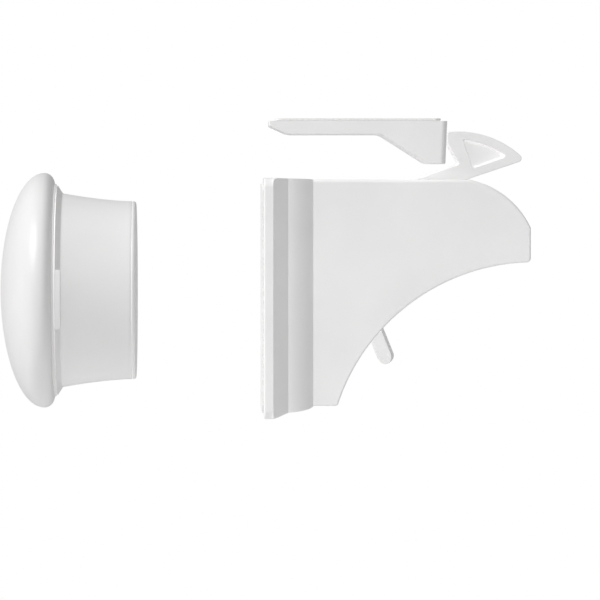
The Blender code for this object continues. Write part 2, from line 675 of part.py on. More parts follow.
def spring_path():
    """Long leg from the off switch up to the coil, the coil, then the short leg under the arm."""
    start, end = spring_ends()
    turns = (end - start) / (2 * math.pi)
    steps = round(turns * SPRING_POINTS_PER_TURN)
    half = turns * SPRING_PITCH / 2
    coil = []
    for i in range(steps + 1):
        place = LATCH_PIVOT + SPRING_RADIUS * direction(start + (end - start) * i / steps)
        place.y = half - 2 * half * i / steps
        coil.append(place)
    leg_points = 5
    switch_leg = [coil[0] + SPRING_SWITCH_LEG * (leg_points - i) / leg_points * switch_leg_way()
                  for i in range(leg_points)]
    arm_leg = [coil[-1] + SPRING_ARM_LEG * (i + 1) / leg_points * direction(ARM_ANGLE)
               for i in range(leg_points)]
    return switch_leg + coil + arm_leg, steps / turns


def least_self_gap(path, points_per_turn):
    """Least clear space between stretches of the wire that are more than half a turn apart."""
    skip = int(points_per_turn / 2)
    pairs = ((a, b) for i, a in enumerate(path) for b in path[i + skip:])
    return min((a - b).length for a, b in pairs) - 2 * WIRE_RADIUS


def make_spring(group):
    path, points_per_turn = spring_path()
    curve = bpy.data.curves.new("latch_spring", "CURVE")
    curve.dimensions = "3D"
    curve.bevel_depth = WIRE_RADIUS
    curve.bevel_resolution = 1
    curve.use_fill_caps = True
    spline = curve.splines.new("POLY")
    spline.points.add(len(path) - 1)
    for target, place in zip(spline.points, path):
        target.co = (*(place - group.location), 1)
    add_object("latch_spring", curve, group, METAL)
    print(f"latch_spring least gap to itself {least_self_gap(path, points_per_turn) / MM:.2f} mm")


def make_switch(group):
    lever_y = SWITCH_LEVER_WIDTH / 2
    half = SWITCH_LEVER_THICKNESS / 2
    along = direction(SWITCH_ON_ANGLE)
    across = half * direction(SWITCH_ON_ANGLE + math.pi / 2)
    end = SWITCH_PIVOT + (SWITCH_LEVER_LENGTH - half) * along
    tip = arc(end, half, SWITCH_ON_ANGLE - math.pi / 2, SWITCH_ON_ANGLE + math.pi / 2, 8)
    lever = [SWITCH_PIVOT + across, SWITCH_PIVOT - across] + tip
    solid = prism(lever, -lever_y, lever_y)
    solid = bevel_edges(solid, lambda e: abs(e.verts[0].co.y - e.verts[1].co.y) < BOND_GAP,
                        SWITCH_LEVER_EDGE, 2)
    switch = make_piece("off_switch", solid, group, PLASTIC)
    hub_y = CAVITY_Y - RUN_GAP
    join(switch, rod(SWITCH_PIVOT, (0, 1, 0), -hub_y, hub_y, SWITCH_HUB_RADIUS, 24))
    leg_start = LATCH_PIVOT + SPRING_RADIUS * direction(SPRING_SWITCH_LEG_TILT)
    beside = -(WIRE_RADIUS + SLIP_GAP) * direction(SPRING_SWITCH_LEG_TILT)
    cam_top = leg_start + (SPRING_SWITCH_LEG - SWITCH_CAM_OVERLAP) * switch_leg_way() + beside
    cam_low = leg_start + (SPRING_SWITCH_LEG + SWITCH_CAM_OVERLAP / 2) * switch_leg_way() + beside
    width = -SWITCH_CAM_THICKNESS * direction(SPRING_SWITCH_LEG_TILT)
    cam = [(cam_top, SWITCH_CAM_CORNER), (cam_top + width, SWITCH_CAM_CORNER), (SWITCH_PIVOT + width, 0),
           (SWITCH_PIVOT, 0), (cam_low, 0)]
    join(switch, prism(rounded(cam), -lever_y, lever_y))
    cut(switch, rod(SWITCH_PIVOT, (0, 1, 0), -CHEEK_Y, CHEEK_Y, SWITCH_PIN_RADIUS + PIN_GAP, 20))


def catch_outline():
    low_plate = CATCH_TOP_Z - CATCH_PLATE
    end_low_x = CATCH_END_X - CATCH_DRAFT
    return [(point(CATCH_START_X, CATCH_TOP_Z), 0),
            (point(CATCH_START_X, CATCH_TOP_Z - CATCH_TOE_HEIGHT), 0.3 * MM),
            (point(CATCH_START_X + CATCH_TOE_LENGTH, low_plate), 1 * MM),
            (point(CATCH_START_X + CATCH_RAMP_START, low_plate), 0.8 * MM),
            (point(end_low_x - CATCH_LIP_LENGTH, CATCH_LIP_Z), 0.8 * MM),
            (point(end_low_x, CATCH_LIP_Z), 0),
            (point(CATCH_END_X, CATCH_TOP_Z), 0)]


def catch_hollow():
    """Pocket behind the ramp, open towards the hook, with a lip along its lower edge."""
    outline = [corner for corner, radius in catch_outline()]
    ramp_top, ramp_low = outline[3], outline[4]
    slope = (ramp_low - ramp_top).normalized()
    inward = CATCH_WALL * Vector((-slope.z, 0, slope.x))
    ceiling = CATCH_TOP_Z - CATCH_WALL
    floor = CATCH_LIP_Z + CATCH_WALL
    start = ramp_top + inward
    at_ceiling = start + slope * (ceiling - start.z) / slope.z
    at_floor = start + slope * (floor - start.z) / slope.z
    out_x = CATCH_END_X + CATCH_WALL
    return [point(at_ceiling.x, ceiling), point(at_floor.x, floor),
            point(out_x, floor), point(out_x, ceiling)]


def make_catch(group):
    side = CATCH_WIDTH / 2
    solid = prism(rounded(catch_outline()), -side, side)
    solid = bevel_edges(solid, lambda e: min(v.co.x for v in e.verts) > CATCH_END_X - 2 * CATCH_DRAFT and
                        abs(e.verts[0].co.z - e.verts[1].co.z) > CATCH_PLATE, CATCH_EDGE, 4)
    catch = make_piece("catch", solid, group, PLASTIC)
    cut(catch, prism(catch_hollow(), CATCH_WALL - side, side - CATCH_WALL))
    low = (CATCH_START_X + PAD_INSET, PAD_INSET - side, CATCH_TOP_Z + BOND_GAP)
    high = (CATCH_END_X - PAD_INSET, side - PAD_INSET, CABINET_TOP_Z)
    make_piece("catch_adhesive_pad", box(low, high), group, PAD)


def key_stations():
    """Places along the key's axis, from the end that touches the drawer front to the dome."""
    stem_end = KEY_FACE_X - END_DISC_THICKNESS - BOND_GAP
    stem_root = stem_end - STEM_LENGTH
    flange = stem_root - FLANGE_DEPTH
    dome_back = flange - GROOVE_WIDTH
    return stem_end, stem_root, flange, dome_back


def stem_radius(x):
    """Stem that tapers towards its end in a slightly hollow curve."""
    stem_end, stem_root, flange, dome_back = key_stations()
    share = (stem_end - x) / (stem_end - stem_root)
    return STEM_END_RADIUS + (STEM_ROOT_RADIUS - STEM_END_RADIUS) * share ** STEM_FLARE


def make_dome(group):
    dome_back = key_stations()[3]
    equator = dome_back - DOME_LIP_LENGTH - DOME_ROUND_DEPTH
    steps = 12
    profile = []
    for i in range(steps + 1):
        angle = math.pi / 2 * i / steps
        profile.append((equator - DOME_CROWN * math.cos(angle), DOME_RADIUS * math.sin(angle)))
    round_steps = 5
    for i in range(1, round_steps + 1):
        angle = math.pi / 2 * i / round_steps
        profile.append((equator + DOME_ROUND_DEPTH * math.sin(angle),
                        DOME_LIP_RADIUS + DOME_ROUND_STEP * math.cos(angle)))
    profile.append((dome_back, DOME_LIP_RADIUS))
    socket = GROOVE_RADIUS + SLIP_GAP
    socket_end = dome_back - SPIGOT_LENGTH - SLIP_GAP
    profile += [(dome_back, socket), (socket_end, socket)]
    inner_rise = DOME_CROWN - (equator - socket_end) - DOME_WALL
    for i in range(1, 8):
        angle = math.pi / 2 * i / 7
        inner = (socket - DOME_WALL / 2) * math.cos(angle)
        profile.append((socket_end - inner_rise * math.sin(angle), inner))
    make_piece("key_dome", turned(profile, (0, 0, KEY_AXIS_Z), (1, 0, 0), KEY_SIDES), group, GLOSS)


def make_key_body(group):
    stem_end, stem_root, flange, dome_back = key_stations()
    spigot_end = dome_back - SPIGOT_LENGTH
    spigot_bore = GROOVE_RADIUS - SPIGOT_WALL
    magnet_end = stem_end - END_DISC_SPIGOT - KEY_MAGNET_THICKNESS - KEY_YOKE_THICKNESS - 2 * BOND_GAP
    shoulder_end = magnet_end - MAGNET_SHOULDER
    profile = [(spigot_end, spigot_bore), (spigot_end, GROOVE_RADIUS), (flange, GROOVE_RADIUS),
               (flange, FLANGE_RADIUS)]
    steps = 6
    profile += [(stem_root + STEM_LENGTH * i / steps, stem_radius(stem_root + STEM_LENGTH * i / steps))
                for i in range(steps + 1)]
    shoulder_bore = KEY_BORE_RADIUS - MAGNET_SHOULDER
    profile += [(stem_end, KEY_BORE_RADIUS), (magnet_end, KEY_BORE_RADIUS),
                (magnet_end, shoulder_bore), (shoulder_end, shoulder_bore),
                (shoulder_end, stem_radius(shoulder_end) - SPIGOT_WALL)]
    solid = turned(profile, (0, 0, KEY_AXIS_Z), (1, 0, 0), KEY_SIDES)
    body = make_piece("key_body", solid, group, GLOSS)
    tab_low, tab_high = STEM_ROOT_RADIUS - SPIGOT_WALL / 2, FLANGE_RADIUS - TAB_DROP
    for i in range(TAB_COUNT):
        middle = math.pi + TAB_TILT + 2 * math.pi * i / TAB_COUNT
        join(body, tab_solid(middle, tab_low, tab_high, dome_back + BOND_GAP, stem_root + BOND_GAP))


def tab_solid(middle, low, high, start_x, end_x):
    """Piece of a ring round the key's axis that fills the recess behind the dome's lip."""
    steps = 6
    angles = [middle + TAB_ANGLE * (i / steps - 0.5) for i in range(steps + 1)]
    outer = [(high, a) for a in angles]
    inner = [(low, a) for a in reversed(angles)]
    outline = [Vector((0, r * math.cos(a), r * math.sin(a) + KEY_AXIS_Z)) for r, a in outer + inner]
    return loft([[Vector((x, p.y, p.z)) for p in outline] for x in (start_x, end_x)])


def make_key_core(group):
    stem_end = key_stations()[0]
    axis_point = (0, 0, KEY_AXIS_Z)
    fit = KEY_BORE_RADIUS - SLIP_GAP
    spigot_end = stem_end - END_DISC_SPIGOT
    disc_back = KEY_FACE_X - END_DISC_THICKNESS
    edge = [(KEY_FACE_X - END_DISC_EDGE * (1 - math.cos(a)),
             STEM_END_RADIUS - END_DISC_EDGE * (1 - math.sin(a)))
            for a in (math.pi / 2, math.pi / 3, math.pi / 6, 0)]
    profile = [(spigot_end, 0), (spigot_end, fit), (disc_back, fit), (disc_back, STEM_END_RADIUS)] + edge
    profile += [(KEY_FACE_X, 0)]
    make_piece("key_end_disc", turned(profile, axis_point, (1, 0, 0), KEY_SIDES), group, GLOSS)
    magnet_front = spigot_end - BOND_GAP
    magnet_back = magnet_front - KEY_MAGNET_THICKNESS
    make_piece("key_magnet", rod(axis_point, (1, 0, 0), magnet_back, magnet_front, fit, 40), group, PLATED)
    yoke_front = magnet_back - BOND_GAP
    yoke = rod(axis_point, (1, 0, 0), yoke_front - KEY_YOKE_THICKNESS + BOND_GAP, yoke_front, fit, 40)
    make_piece("key_yoke", yoke, group, METAL)


def main():
    for leftover in list(bpy.data.objects):
        bpy.data.objects.remove(leftover, do_unlink=True)
    lock = make_group("lock_origin", Vector((0, 0, 0)))
    make_lock_pad(lock)
    make_back_plate(lock)
    make_screws(lock)
    make_housing(lock)
    make_pin("latch_pin", LATCH_PIVOT, LATCH_PIN_RADIUS, lock)
    make_pin("switch_pin", SWITCH_PIVOT, SWITCH_PIN_RADIUS, lock)
    latch_axis = make_group("latch_axis", LATCH_PIVOT)
    make_latch(latch_axis)
    make_spring(latch_axis)
    make_switch(make_group("switch_axis", SWITCH_PIVOT))
    make_catch(make_group("catch_origin", Vector((0, 0, 0))))
    key = make_group("key_axis", Vector((0, 0, KEY_AXIS_Z)))
    make_dome(key)
    make_key_body(key)
    make_key_core(key)


main()
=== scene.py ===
# %% [markdown]
# # A magnetic drawer lock in white plastic
#
# The set has three units: a round key that is held outside the drawer front, a lock with a sprung
# hook behind it, and a hollow catch under the cabinet top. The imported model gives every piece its
# place and its moving body, and this lesson gives each visible piece its moulded shape and finish.

# %% Load the frame
import math

import bmesh
import bpy
from mathutils import Matrix, Vector


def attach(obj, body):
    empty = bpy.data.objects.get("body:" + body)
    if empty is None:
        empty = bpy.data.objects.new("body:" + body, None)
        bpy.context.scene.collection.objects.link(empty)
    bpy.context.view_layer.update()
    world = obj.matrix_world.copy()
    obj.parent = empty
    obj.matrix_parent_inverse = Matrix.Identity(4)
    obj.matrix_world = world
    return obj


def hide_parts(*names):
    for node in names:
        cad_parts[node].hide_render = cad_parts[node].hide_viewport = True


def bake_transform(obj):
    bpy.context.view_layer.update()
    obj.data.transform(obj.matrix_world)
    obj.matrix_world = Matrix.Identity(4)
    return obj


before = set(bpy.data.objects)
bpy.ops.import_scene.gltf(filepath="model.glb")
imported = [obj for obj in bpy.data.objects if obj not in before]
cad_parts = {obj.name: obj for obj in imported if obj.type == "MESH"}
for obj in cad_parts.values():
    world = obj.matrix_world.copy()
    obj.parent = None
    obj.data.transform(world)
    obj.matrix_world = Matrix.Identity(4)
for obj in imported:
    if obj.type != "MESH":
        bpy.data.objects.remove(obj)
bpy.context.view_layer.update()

MM = 0.001
print("nodes", len(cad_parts))

# %% [markdown]
# ## Drawing outlines with a pen
#
# Most of these mouldings are a side view pulled out to a width. A side view could be typed in as a
# long list of points, but a pen is easier to read: one vertex is extruded along straight stretches
# and spun round a centre for the arcs, exactly as it would be drawn in the editor. The loop is then
# filled, its corners are bevelled as vertices, and the face is extruded across the lock.


# %% The pen
WELD = 0.001


def verts_in(geom):
    return [g for g in geom if isinstance(g, bmesh.types.BMVert)]


def pen(x, z):
    """Start an outline in the XZ plane, in millimetres."""
    bm = bmesh.new()
    return bm, bm.verts.new((x * MM, 0, z * MM))


def line(bm, tip, x, z):
    """Draw on from the tip to (x, z)."""
    new = bmesh.ops.extrude_vert_indiv(bm, verts=[tip])["verts"][0]
    bmesh.ops.translate(bm, verts=[new], vec=Vector((x * MM, 0, z * MM)) - tip.co)
    return new


def arc(bm, tip, x, z, degrees, steps):
    """Turn the tip round (x, z), counter-clockwise as the camera sees it."""
    made = bmesh.ops.spin(bm, geom=[tip], cent=(x * MM, 0, z * MM), axis=(0, -1, 0),
                          angle=math.radians(degrees), steps=steps)
    return verts_in(made["geom_last"])[0]


def close(bm, tip):
    """Join the tip to the start and fill the loop."""
    bm.verts.ensure_lookup_table()
    bmesh.ops.contextual_create(bm, geom=[tip, bm.verts[0]])
    bmesh.ops.remove_doubles(bm, verts=bm.verts, dist=WELD * MM)
    bmesh.ops.edgeloop_fill(bm, edges=bm.edges)


def polygon(*corners):
    """Draw straight from corner to corner and fill the loop."""
    bm, tip = pen(*corners[0])
    for corner in corners[1:]:
        tip = line(bm, tip, *corner)
    close(bm, tip)
    return bm


def soften(bm, x, z, radius, segments=6):
    """Round the corner of the outline nearest to (x, z)."""
    spot = Vector((x * MM, 0, z * MM))
    corner = min(bm.verts, key=lambda v: (v.co - spot).length)
    bmesh.ops.bevel(bm, geom=[corner], offset=radius * MM, offset_type="OFFSET", segments=segments,
                    profile=0.5, affect="VERTICES", clamp_overlap=True, material=-1)


# %% From an outline to a body
def shift(bm, x, y, z):
    bmesh.ops.translate(bm, verts=bm.verts, vec=(x * MM, y * MM, z * MM))


def turn(bm, angle, axis):
    bmesh.ops.rotate(bm, verts=bm.verts, cent=(0, 0, 0), matrix=Matrix.Rotation(angle, 3, axis))


def outward(bm):
    """Weld the mesh and turn all its faces outwards."""
    bmesh.ops.remove_doubles(bm, verts=bm.verts, dist=WELD * MM)
    bmesh.ops.recalc_face_normals(bm, faces=bm.faces)
    if bm.calc_volume(signed=True) < 0:
        bmesh.ops.reverse_faces(bm, faces=bm.faces)


def pull_out(bm, y_low, y_high):
    """Extrude the filled outline from y_low to y_high."""
    shift(bm, 0, y_low, 0)
    grown = bmesh.ops.extrude_face_region(bm, geom=bm.faces[:])["geom"]
    bmesh.ops.translate(bm, verts=verts_in(grown), vec=(0, (y_high - y_low) * MM, 0))
    outward(bm)
    return bm


def round_edges(bm, width, segments, chosen=lambda e: True, sharp=30):
    """Fillet the chosen edges that are sharper than so many degrees."""
    bm.normal_update()
    least = math.radians(sharp)
    edges = [e for e in bm.edges if e.is_manifold and e.calc_face_angle(0) > least and chosen(e)]
    bmesh.ops.bevel(bm, geom=edges, offset=width * MM, offset_type="OFFSET", segments=segments,
                    profile=0.5, affect="EDGES", clamp_overlap=True, loop_slide=True, material=-1)
    outward(bm)


def rise(edge):
    """How far an edge climbs, in millimetres."""
    return abs(edge.verts[0].co.z - edge.verts[1].co.z) / MM


# %% [markdown]
# ## Turning and cutting
#
# Round pieces are profiles spun about an axis, which gives clean rings for the highlights to run
# along. Slots and bores could be modelled edge by edge, but a Boolean with a simple cutter is how a
# mould maker thinks of them, so each cutter is a small mesh that is used once and then removed. A
# finished piece is smooth up to its sharp edges, and its normals follow the larger faces, so that a
# narrow fillet doesn't bend the light on the flats beside it.

# %% Bars and bricks
QUARTER = math.radians(90)


def bar(radius, length, sides=64):
    """Round bar along Z."""
    bm = bmesh.new()
    bmesh.ops.create_cone(bm, cap_ends=True, segments=sides, radius1=radius * MM, radius2=radius * MM,
                          depth=length * MM)
    return bm


def rod(x, z, radius, y_low, y_high, sides=64):
    """Round bar along Y."""
    bm = bar(radius, y_high - y_low, sides)
    turn(bm, QUARTER, "X")
    shift(bm, x, (y_low + y_high) / 2, z)
    outward(bm)
    return bm


def brick(low, high):
    """Block from its lowest to its highest corner."""
    bm = bmesh.new()
    bmesh.ops.create_cube(bm, size=MM)
    bmesh.ops.scale(bm, verts=bm.verts, vec=[b - a for a, b in zip(low, high)])
    shift(bm, *[(a + b) / 2 for a, b in zip(low, high)])
    return bm


# %% Objects, joins and cuts
def to_object(name, bm):
    mesh = bpy.data.meshes.new(name)
    bm.to_mesh(mesh)
    bm.free()
    piece = bpy.data.objects.new(name, mesh)
    bpy.context.scene.collection.objects.link(piece)
    return piece


def keep_shape(piece, step):
    """Make what a modifier does a part of the piece's own mesh."""
    bpy.context.view_layer.update()
    view = bpy.context.evaluated_depsgraph_get()
    shaped = bpy.data.meshes.new_from_object(piece.evaluated_get(view))
    piece.modifiers.remove(step)
    old, piece.data = piece.data, shaped
    bpy.data.meshes.remove(old)


def combine(piece, bm, operation):
    """Join a solid to the piece or cut it away, and keep the result as the piece's mesh."""
    tool = to_object(piece.name + "_tool", bm)
    step = piece.modifiers.new("shape", "BOOLEAN")
    step.operation = operation
    step.solver = "EXACT"
    step.object = tool
    keep_shape(piece, step)
    bpy.data.objects.remove(tool)


# %% The last step of every piece
SHARP = 28


def finish_piece(piece, body, node, material):
    """Shade the piece, give it its finish and let it stand for its CAD node."""
    piece.data.shade_smooth()
    piece.data.set_sharp_from_angle(angle=math.radians(SHARP))
    even = piece.modifiers.new("even_shading", "WEIGHTED_NORMAL")
    even.keep_sharp = True
    keep_shape(piece, even)
    piece.data.materials.clear()
    piece.data.materials.append(material)
    if body:
        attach(piece, body)
    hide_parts(node)
    triangles = sum(len(p.vertices) - 2 for p in piece.data.polygons)
    size = ", ".join(f"{d / MM:.1f}" for d in piece.dimensions)
    print(f"{piece.name}: {triangles} triangles, {size} mm")


# %% [markdown]
# ## White moulded plastic
#
# The lock and the catch are injection-moulded in a satin white. One flat white would look like
# paper, so three things vary a little: a slow drift of the white itself, a fine spark-eroded grain
# that breaks up the highlights, and a roughness that follows the grain. Everything reads Object
# coordinates, so the pattern stays on the piece when it moves. The key comes from a polished mould,
# with hardly any grain and a soft gloss. Its dome gets a darker copy of the same white, which is
# painted shade: it greys the dome the way the light would.


# %% Shader nodes
def noise(tree, coords, scale, detail, place):
    node = tree.nodes.new("ShaderNodeTexNoise")
    node.location = place
    node.inputs["Scale"].default_value = scale
    node.inputs["Detail"].default_value = detail
    tree.links.new(coords, node.inputs["Vector"])
    return node.outputs["Fac"]


def spread(tree, value, low, high, place):
    node = tree.nodes.new("ShaderNodeMapRange")
    node.location = place
    node.inputs["From Min"].default_value = 0.3
    node.inputs["From Max"].default_value = 0.7
    node.inputs["To Min"].default_value = low
    node.inputs["To Max"].default_value = high
    tree.links.new(value, node.inputs["Value"])
    return node.outputs["Result"]


def two_tone(tree, value, dark, light, place):
    node = tree.nodes.new("ShaderNodeValToRGB")
    node.location = place
    node.color_ramp.elements[0].position = 0.35
    node.color_ramp.elements[0].color = (*dark, 1)
    node.color_ramp.elements[1].position = 0.65
    node.color_ramp.elements[1].color = (*light, 1)
    tree.links.new(value, node.inputs["Fac"])
    return node.outputs["Color"]


def bump(tree, value, strength, depth, place):
    node = tree.nodes.new("ShaderNodeBump")
    node.location = place
    node.inputs["Strength"].default_value = strength
    node.inputs["Distance"].default_value = depth * MM
    tree.links.new(value, node.inputs["Height"])
    return node.outputs["Normal"]


def new_finish(name):
    material = bpy.data.materials.new(name)
    material.use_nodes = True
    tree = material.node_tree
    coords = tree.nodes.new("ShaderNodeTexCoord")
    coords.location = (-900, 0)
    return material, tree, tree.nodes["Principled BSDF"], coords.outputs["Object"]


# %% White plastics
PLASTIC_IOR, DRIFT, GRAIN_BUMP = 1.49, 55, 0.25


def moulded_white(name, dark, light, gloss, grain, grain_depth):
    """White plastic: gloss is the (low, high) roughness, grain the number of grains per metre."""
    material, tree, shader, coords = new_finish(name)
    drift = noise(tree, coords, DRIFT, 2, (-700, 250))
    tree.links.new(two_tone(tree, drift, dark, light, (-450, 250)), shader.inputs["Base Color"])
    fine = noise(tree, coords, grain, 3, (-700, -100))
    tree.links.new(spread(tree, fine, *gloss, (-450, -50)), shader.inputs["Roughness"])
    tree.links.new(bump(tree, fine, GRAIN_BUMP, grain_depth, (-450, -300)), shader.inputs["Normal"])
    shader.inputs["IOR"].default_value = PLASTIC_IOR
    return material


SATIN, POLISHED = ((0.40, 0.52), 3200, 0.02), ((0.34, 0.40), 900, 0.002)
satin_white = moulded_white("satin_white_plastic", (0.81, 0.805, 0.805), (0.84, 0.835, 0.835), *SATIN)
gloss_white = moulded_white("gloss_white_plastic", (0.76, 0.755, 0.755), (0.78, 0.775, 0.775), *POLISHED)
# Painted shade: the dome's white is a darker copy of the key's white, greying the dome as light would.
dome_painted_shade_white = moulded_white("dome_painted_shade_plastic", (0.715, 0.71, 0.71), (0.735, 0.73, 0.73), *POLISHED)
print("finishes", satin_white.name, gloss_white.name, dome_painted_shade_white.name)

# %% [markdown]
# ## Foam, steel and nickel
#
# The lock and the catch are held by thin foam tape, which is matte and full of tiny cells: a
# Voronoi pattern gives those cells as bump and as specks of shade. The pins, the spring and the
# screws are drawn steel with fine scratches, made by stretching a noise along one axis. The magnets
# are nickel plated, which is warmer and smoother.

# %% Foam
FOAM_CELLS, FOAM_ROUGHNESS = 2600, 0.85


def foam_tape(name):
    material, tree, shader, coords = new_finish(name)
    cells = tree.nodes.new("ShaderNodeTexVoronoi")
    cells.location = (-700, 0)
    cells.inputs["Scale"].default_value = FOAM_CELLS
    tree.links.new(coords, cells.inputs["Vector"])
    tone = two_tone(tree, cells.outputs["Distance"], (0.70, 0.70, 0.695), (0.77, 0.77, 0.765), (-450, 200))
    tree.links.new(tone, shader.inputs["Base Color"])
    tree.links.new(bump(tree, cells.outputs["Distance"], 0.4, 0.06, (-450, -300)), shader.inputs["Normal"])
    shader.inputs["Roughness"].default_value = FOAM_ROUGHNESS
    return material


white_foam = foam_tape("white_foam_tape")
print("finish", white_foam.name)

# %% Metals
SCRATCHES = 2500


def drawn_metal(name, dark, light, stretch, gloss):
    """Metal with scratches that run along the axis where stretch is small."""
    material, tree, shader, coords = new_finish(name)
    mapping = tree.nodes.new("ShaderNodeMapping")
    mapping.location = (-800, -200)
    mapping.inputs["Scale"].default_value = stretch
    tree.links.new(coords, mapping.inputs["Vector"])
    scratches = noise(tree, mapping.outputs["Vector"], SCRATCHES, 4, (-620, -100))
    tree.links.new(two_tone(tree, scratches, dark, light, (-420, 200)), shader.inputs["Base Color"])
    tree.links.new(spread(tree, scratches, *gloss, (-420, -50)), shader.inputs["Roughness"])
    tree.links.new(bump(tree, scratches, 0.15, 0.01, (-420, -300)), shader.inputs["Normal"])
    shader.inputs["Metallic"].default_value = 1.0
    return material


pin_steel = drawn_metal("drawn_pin_steel", (0.50, 0.51, 0.52), (0.66, 0.67, 0.68),
                        (1, 0.05, 1), (0.22, 0.36))
spring_steel = drawn_metal("spring_wire_steel", (0.42, 0.42, 0.43), (0.58, 0.58, 0.59),
                           (0.3, 0.3, 0.3), (0.25, 0.4))
screw_steel = drawn_metal("zinc_screw_steel", (0.55, 0.56, 0.58), (0.70, 0.71, 0.73),
                          (1, 1, 0.2), (0.25, 0.4))
nickel_plate = drawn_metal("nickel_plate", (0.66, 0.64, 0.60), (0.74, 0.72, 0.69),
                           (0.4, 0.4, 0.4), (0.12, 0.22))
print("finishes", pin_steel.name, spring_steel.name, screw_steel.name, nickel_plate.name)

# %% [markdown]
# ## The key's dome
#
# The dome is what the hand holds: a shallow half ellipse that rolls over a full, round edge to a
# thin lip at the back. A squashed sphere would give the front only. Here arcs are drawn with the pen
# and squeezed into ellipses, then led round the lip and back along the inside, so that one spin
# makes the whole shell with its wall.

# %% Key sizes
KEY_Z = 1.5
DOME_EQUATOR, DOME_RADIUS, DOME_DEPTH = -48.95, 26.498, 9.85
LIP_START, DOME_BACK, LIP_RADIUS = -46.65, -46.25, 24.0
TURN_STEPS = 180


def turned(bm, y=0, z=KEY_Z, steps=TURN_STEPS):
    """Spin a filled profile about a line along X, the key's axis if no other is given.

    The pen's z is then the radius above that line.
    """
    bmesh.ops.delete(bm, geom=bm.faces[:], context="FACES_ONLY")
    bmesh.ops.spin(bm, geom=bm.verts[:] + bm.edges[:], cent=(0, 0, 0), axis=(1, 0, 0),
                   angle=math.tau, steps=steps, use_merge=True)
    bmesh.ops.dissolve_degenerate(bm, dist=0.002 * MM, edges=bm.edges)
    bmesh.ops.delete(bm, geom=[e for e in bm.edges if not e.link_faces], context="EDGES")
    shift(bm, 0, y, z)
    outward(bm)
    return bm


def squeezed_arc(bm, tip, x, z, degrees, steps, squeeze):
    """Arc round (x, z) that is then scaled about that centre into an ellipse."""
    before = set(bm.verts)
    tip = arc(bm, tip, x, z, degrees, steps)
    made = [v for v in bm.verts if v not in before]
    bmesh.ops.scale(bm, verts=made, vec=squeeze, space=Matrix.Translation((-x * MM, 0, -z * MM)))
    return tip


# %% Dome
SOCKET_END, SOCKET_RADIUS, DOME_WALL = -50.0, 22.3, 2.2
inner_pole, inner_radius = DOME_EQUATOR - DOME_DEPTH + DOME_WALL, SOCKET_RADIUS - DOME_WALL / 2
round_depth, round_step = LIP_START - DOME_EQUATOR, DOME_RADIUS - LIP_RADIUS
bm, tip = pen(DOME_BACK, LIP_RADIUS)
tip = line(bm, tip, LIP_START, LIP_RADIUS)
tip = squeezed_arc(bm, tip, DOME_EQUATOR, LIP_RADIUS, 90, 16, (1, 1, round_step / round_depth))
tip = squeezed_arc(bm, tip, DOME_EQUATOR, 0, 90, 44, (DOME_DEPTH / DOME_RADIUS, 1, 1))
tip = line(bm, tip, inner_pole, 0)
tip = squeezed_arc(bm, tip, SOCKET_END, 0, -90, 16, (1, 1, inner_radius / (SOCKET_END - inner_pole)))
for x, r in ((SOCKET_END, SOCKET_RADIUS), (DOME_BACK, SOCKET_RADIUS)):
    tip = line(bm, tip, x, r)
close(bm, tip)
soften(bm, DOME_BACK, LIP_RADIUS, 0.1, 3)
soften(bm, LIP_START, LIP_RADIUS, 0.15, 3)
dome = to_object("key_dome_shell", turned(bm))
# The dome's darker white is painted shade.
finish_piece(dome, "key", "key_dome", dome_painted_shade_white)

# %% [markdown]
# ## The key's stem
#
# The stem carries the magnet. Behind the dome's lip it has a steep cone, which makes the dark ring
# there, and two snap tabs that fill the ring for a short way. The stem's hollow taper follows a
# power curve, so it is drawn as a run of short straight stretches. The tabs are slices of a ring,
# spun through a small angle.

# %% Stem and cone
STEM_END, STEM_ROOT, FLANGE, FLANGE_RADIUS = -29.1, -44.8, -45.95, 23.75
STEM_RADIUS, FLARE, FLARE_POWER, FLARE_STEPS = 20.1, 1.8, 1.6, 24
BORE, MAGNET_SEAT, WEB_BORE, WEB_BACK = 17.7, -41.1, 15.7, -43.1
SKIRT_END, SKIRT_ROOT, SKIRT_INNER, SKIRT_OUTER = -49.85, 19.8, 20.35, 22.15


def stem_radius(x):
    return STEM_RADIUS + FLARE * ((STEM_END - x) / (STEM_END - STEM_ROOT)) ** FLARE_POWER


bm, tip = pen(FLANGE, FLANGE_RADIUS)
for i in range(FLARE_STEPS + 1):
    x = STEM_ROOT + (STEM_END - STEM_ROOT) * i / FLARE_STEPS
    tip = line(bm, tip, x, stem_radius(x))
for x, r in ((STEM_END, BORE), (MAGNET_SEAT, BORE), (MAGNET_SEAT, WEB_BORE), (WEB_BACK, WEB_BORE),
             (WEB_BACK, SKIRT_ROOT), (SKIRT_END, SKIRT_INNER), (SKIRT_END, SKIRT_OUTER),
             (FLANGE, SKIRT_OUTER)):
    tip = line(bm, tip, x, r)
close(bm, tip)
soften(bm, FLANGE, FLANGE_RADIUS, 0.12, 3)
soften(bm, STEM_ROOT, stem_radius(STEM_ROOT), 0.25, 5)
soften(bm, STEM_END, STEM_RADIUS, 0.12, 2)
stem = to_object("key_stem_moulding", turned(bm))
print("stem from radius", round(stem_radius(STEM_ROOT), 2), "to", STEM_RADIUS, "mm")

# %% Snap tabs behind the lip
TAB_LOW, TAB_HIGH, TAB_WIDTH, TAB_TURN, TAB_GAP = 21.0, 23.55, 33, 4, 0.1
tab_back, tab_front = DOME_BACK + TAB_GAP, STEM_ROOT + TAB_GAP
for number in range(2):
    bm = polygon((tab_back, TAB_LOW), (tab_back, TAB_HIGH), (tab_front, TAB_HIGH), (tab_front, TAB_LOW))
    section = bm.faces[:]
    turn(bm, math.radians(90 + TAB_TURN - TAB_WIDTH / 2 + 180 * number), "X")
    bmesh.ops.spin(bm, geom=section, cent=(0, 0, 0), axis=(1, 0, 0), angle=math.radians(TAB_WIDTH), steps=16)
    shift(bm, 0, 0, KEY_Z)
    outward(bm)
    round_edges(bm, 0.12, 2, sharp=50)
    combine(stem, bm, "UNION")
finish_piece(stem, "key", "key_body", gloss_white)

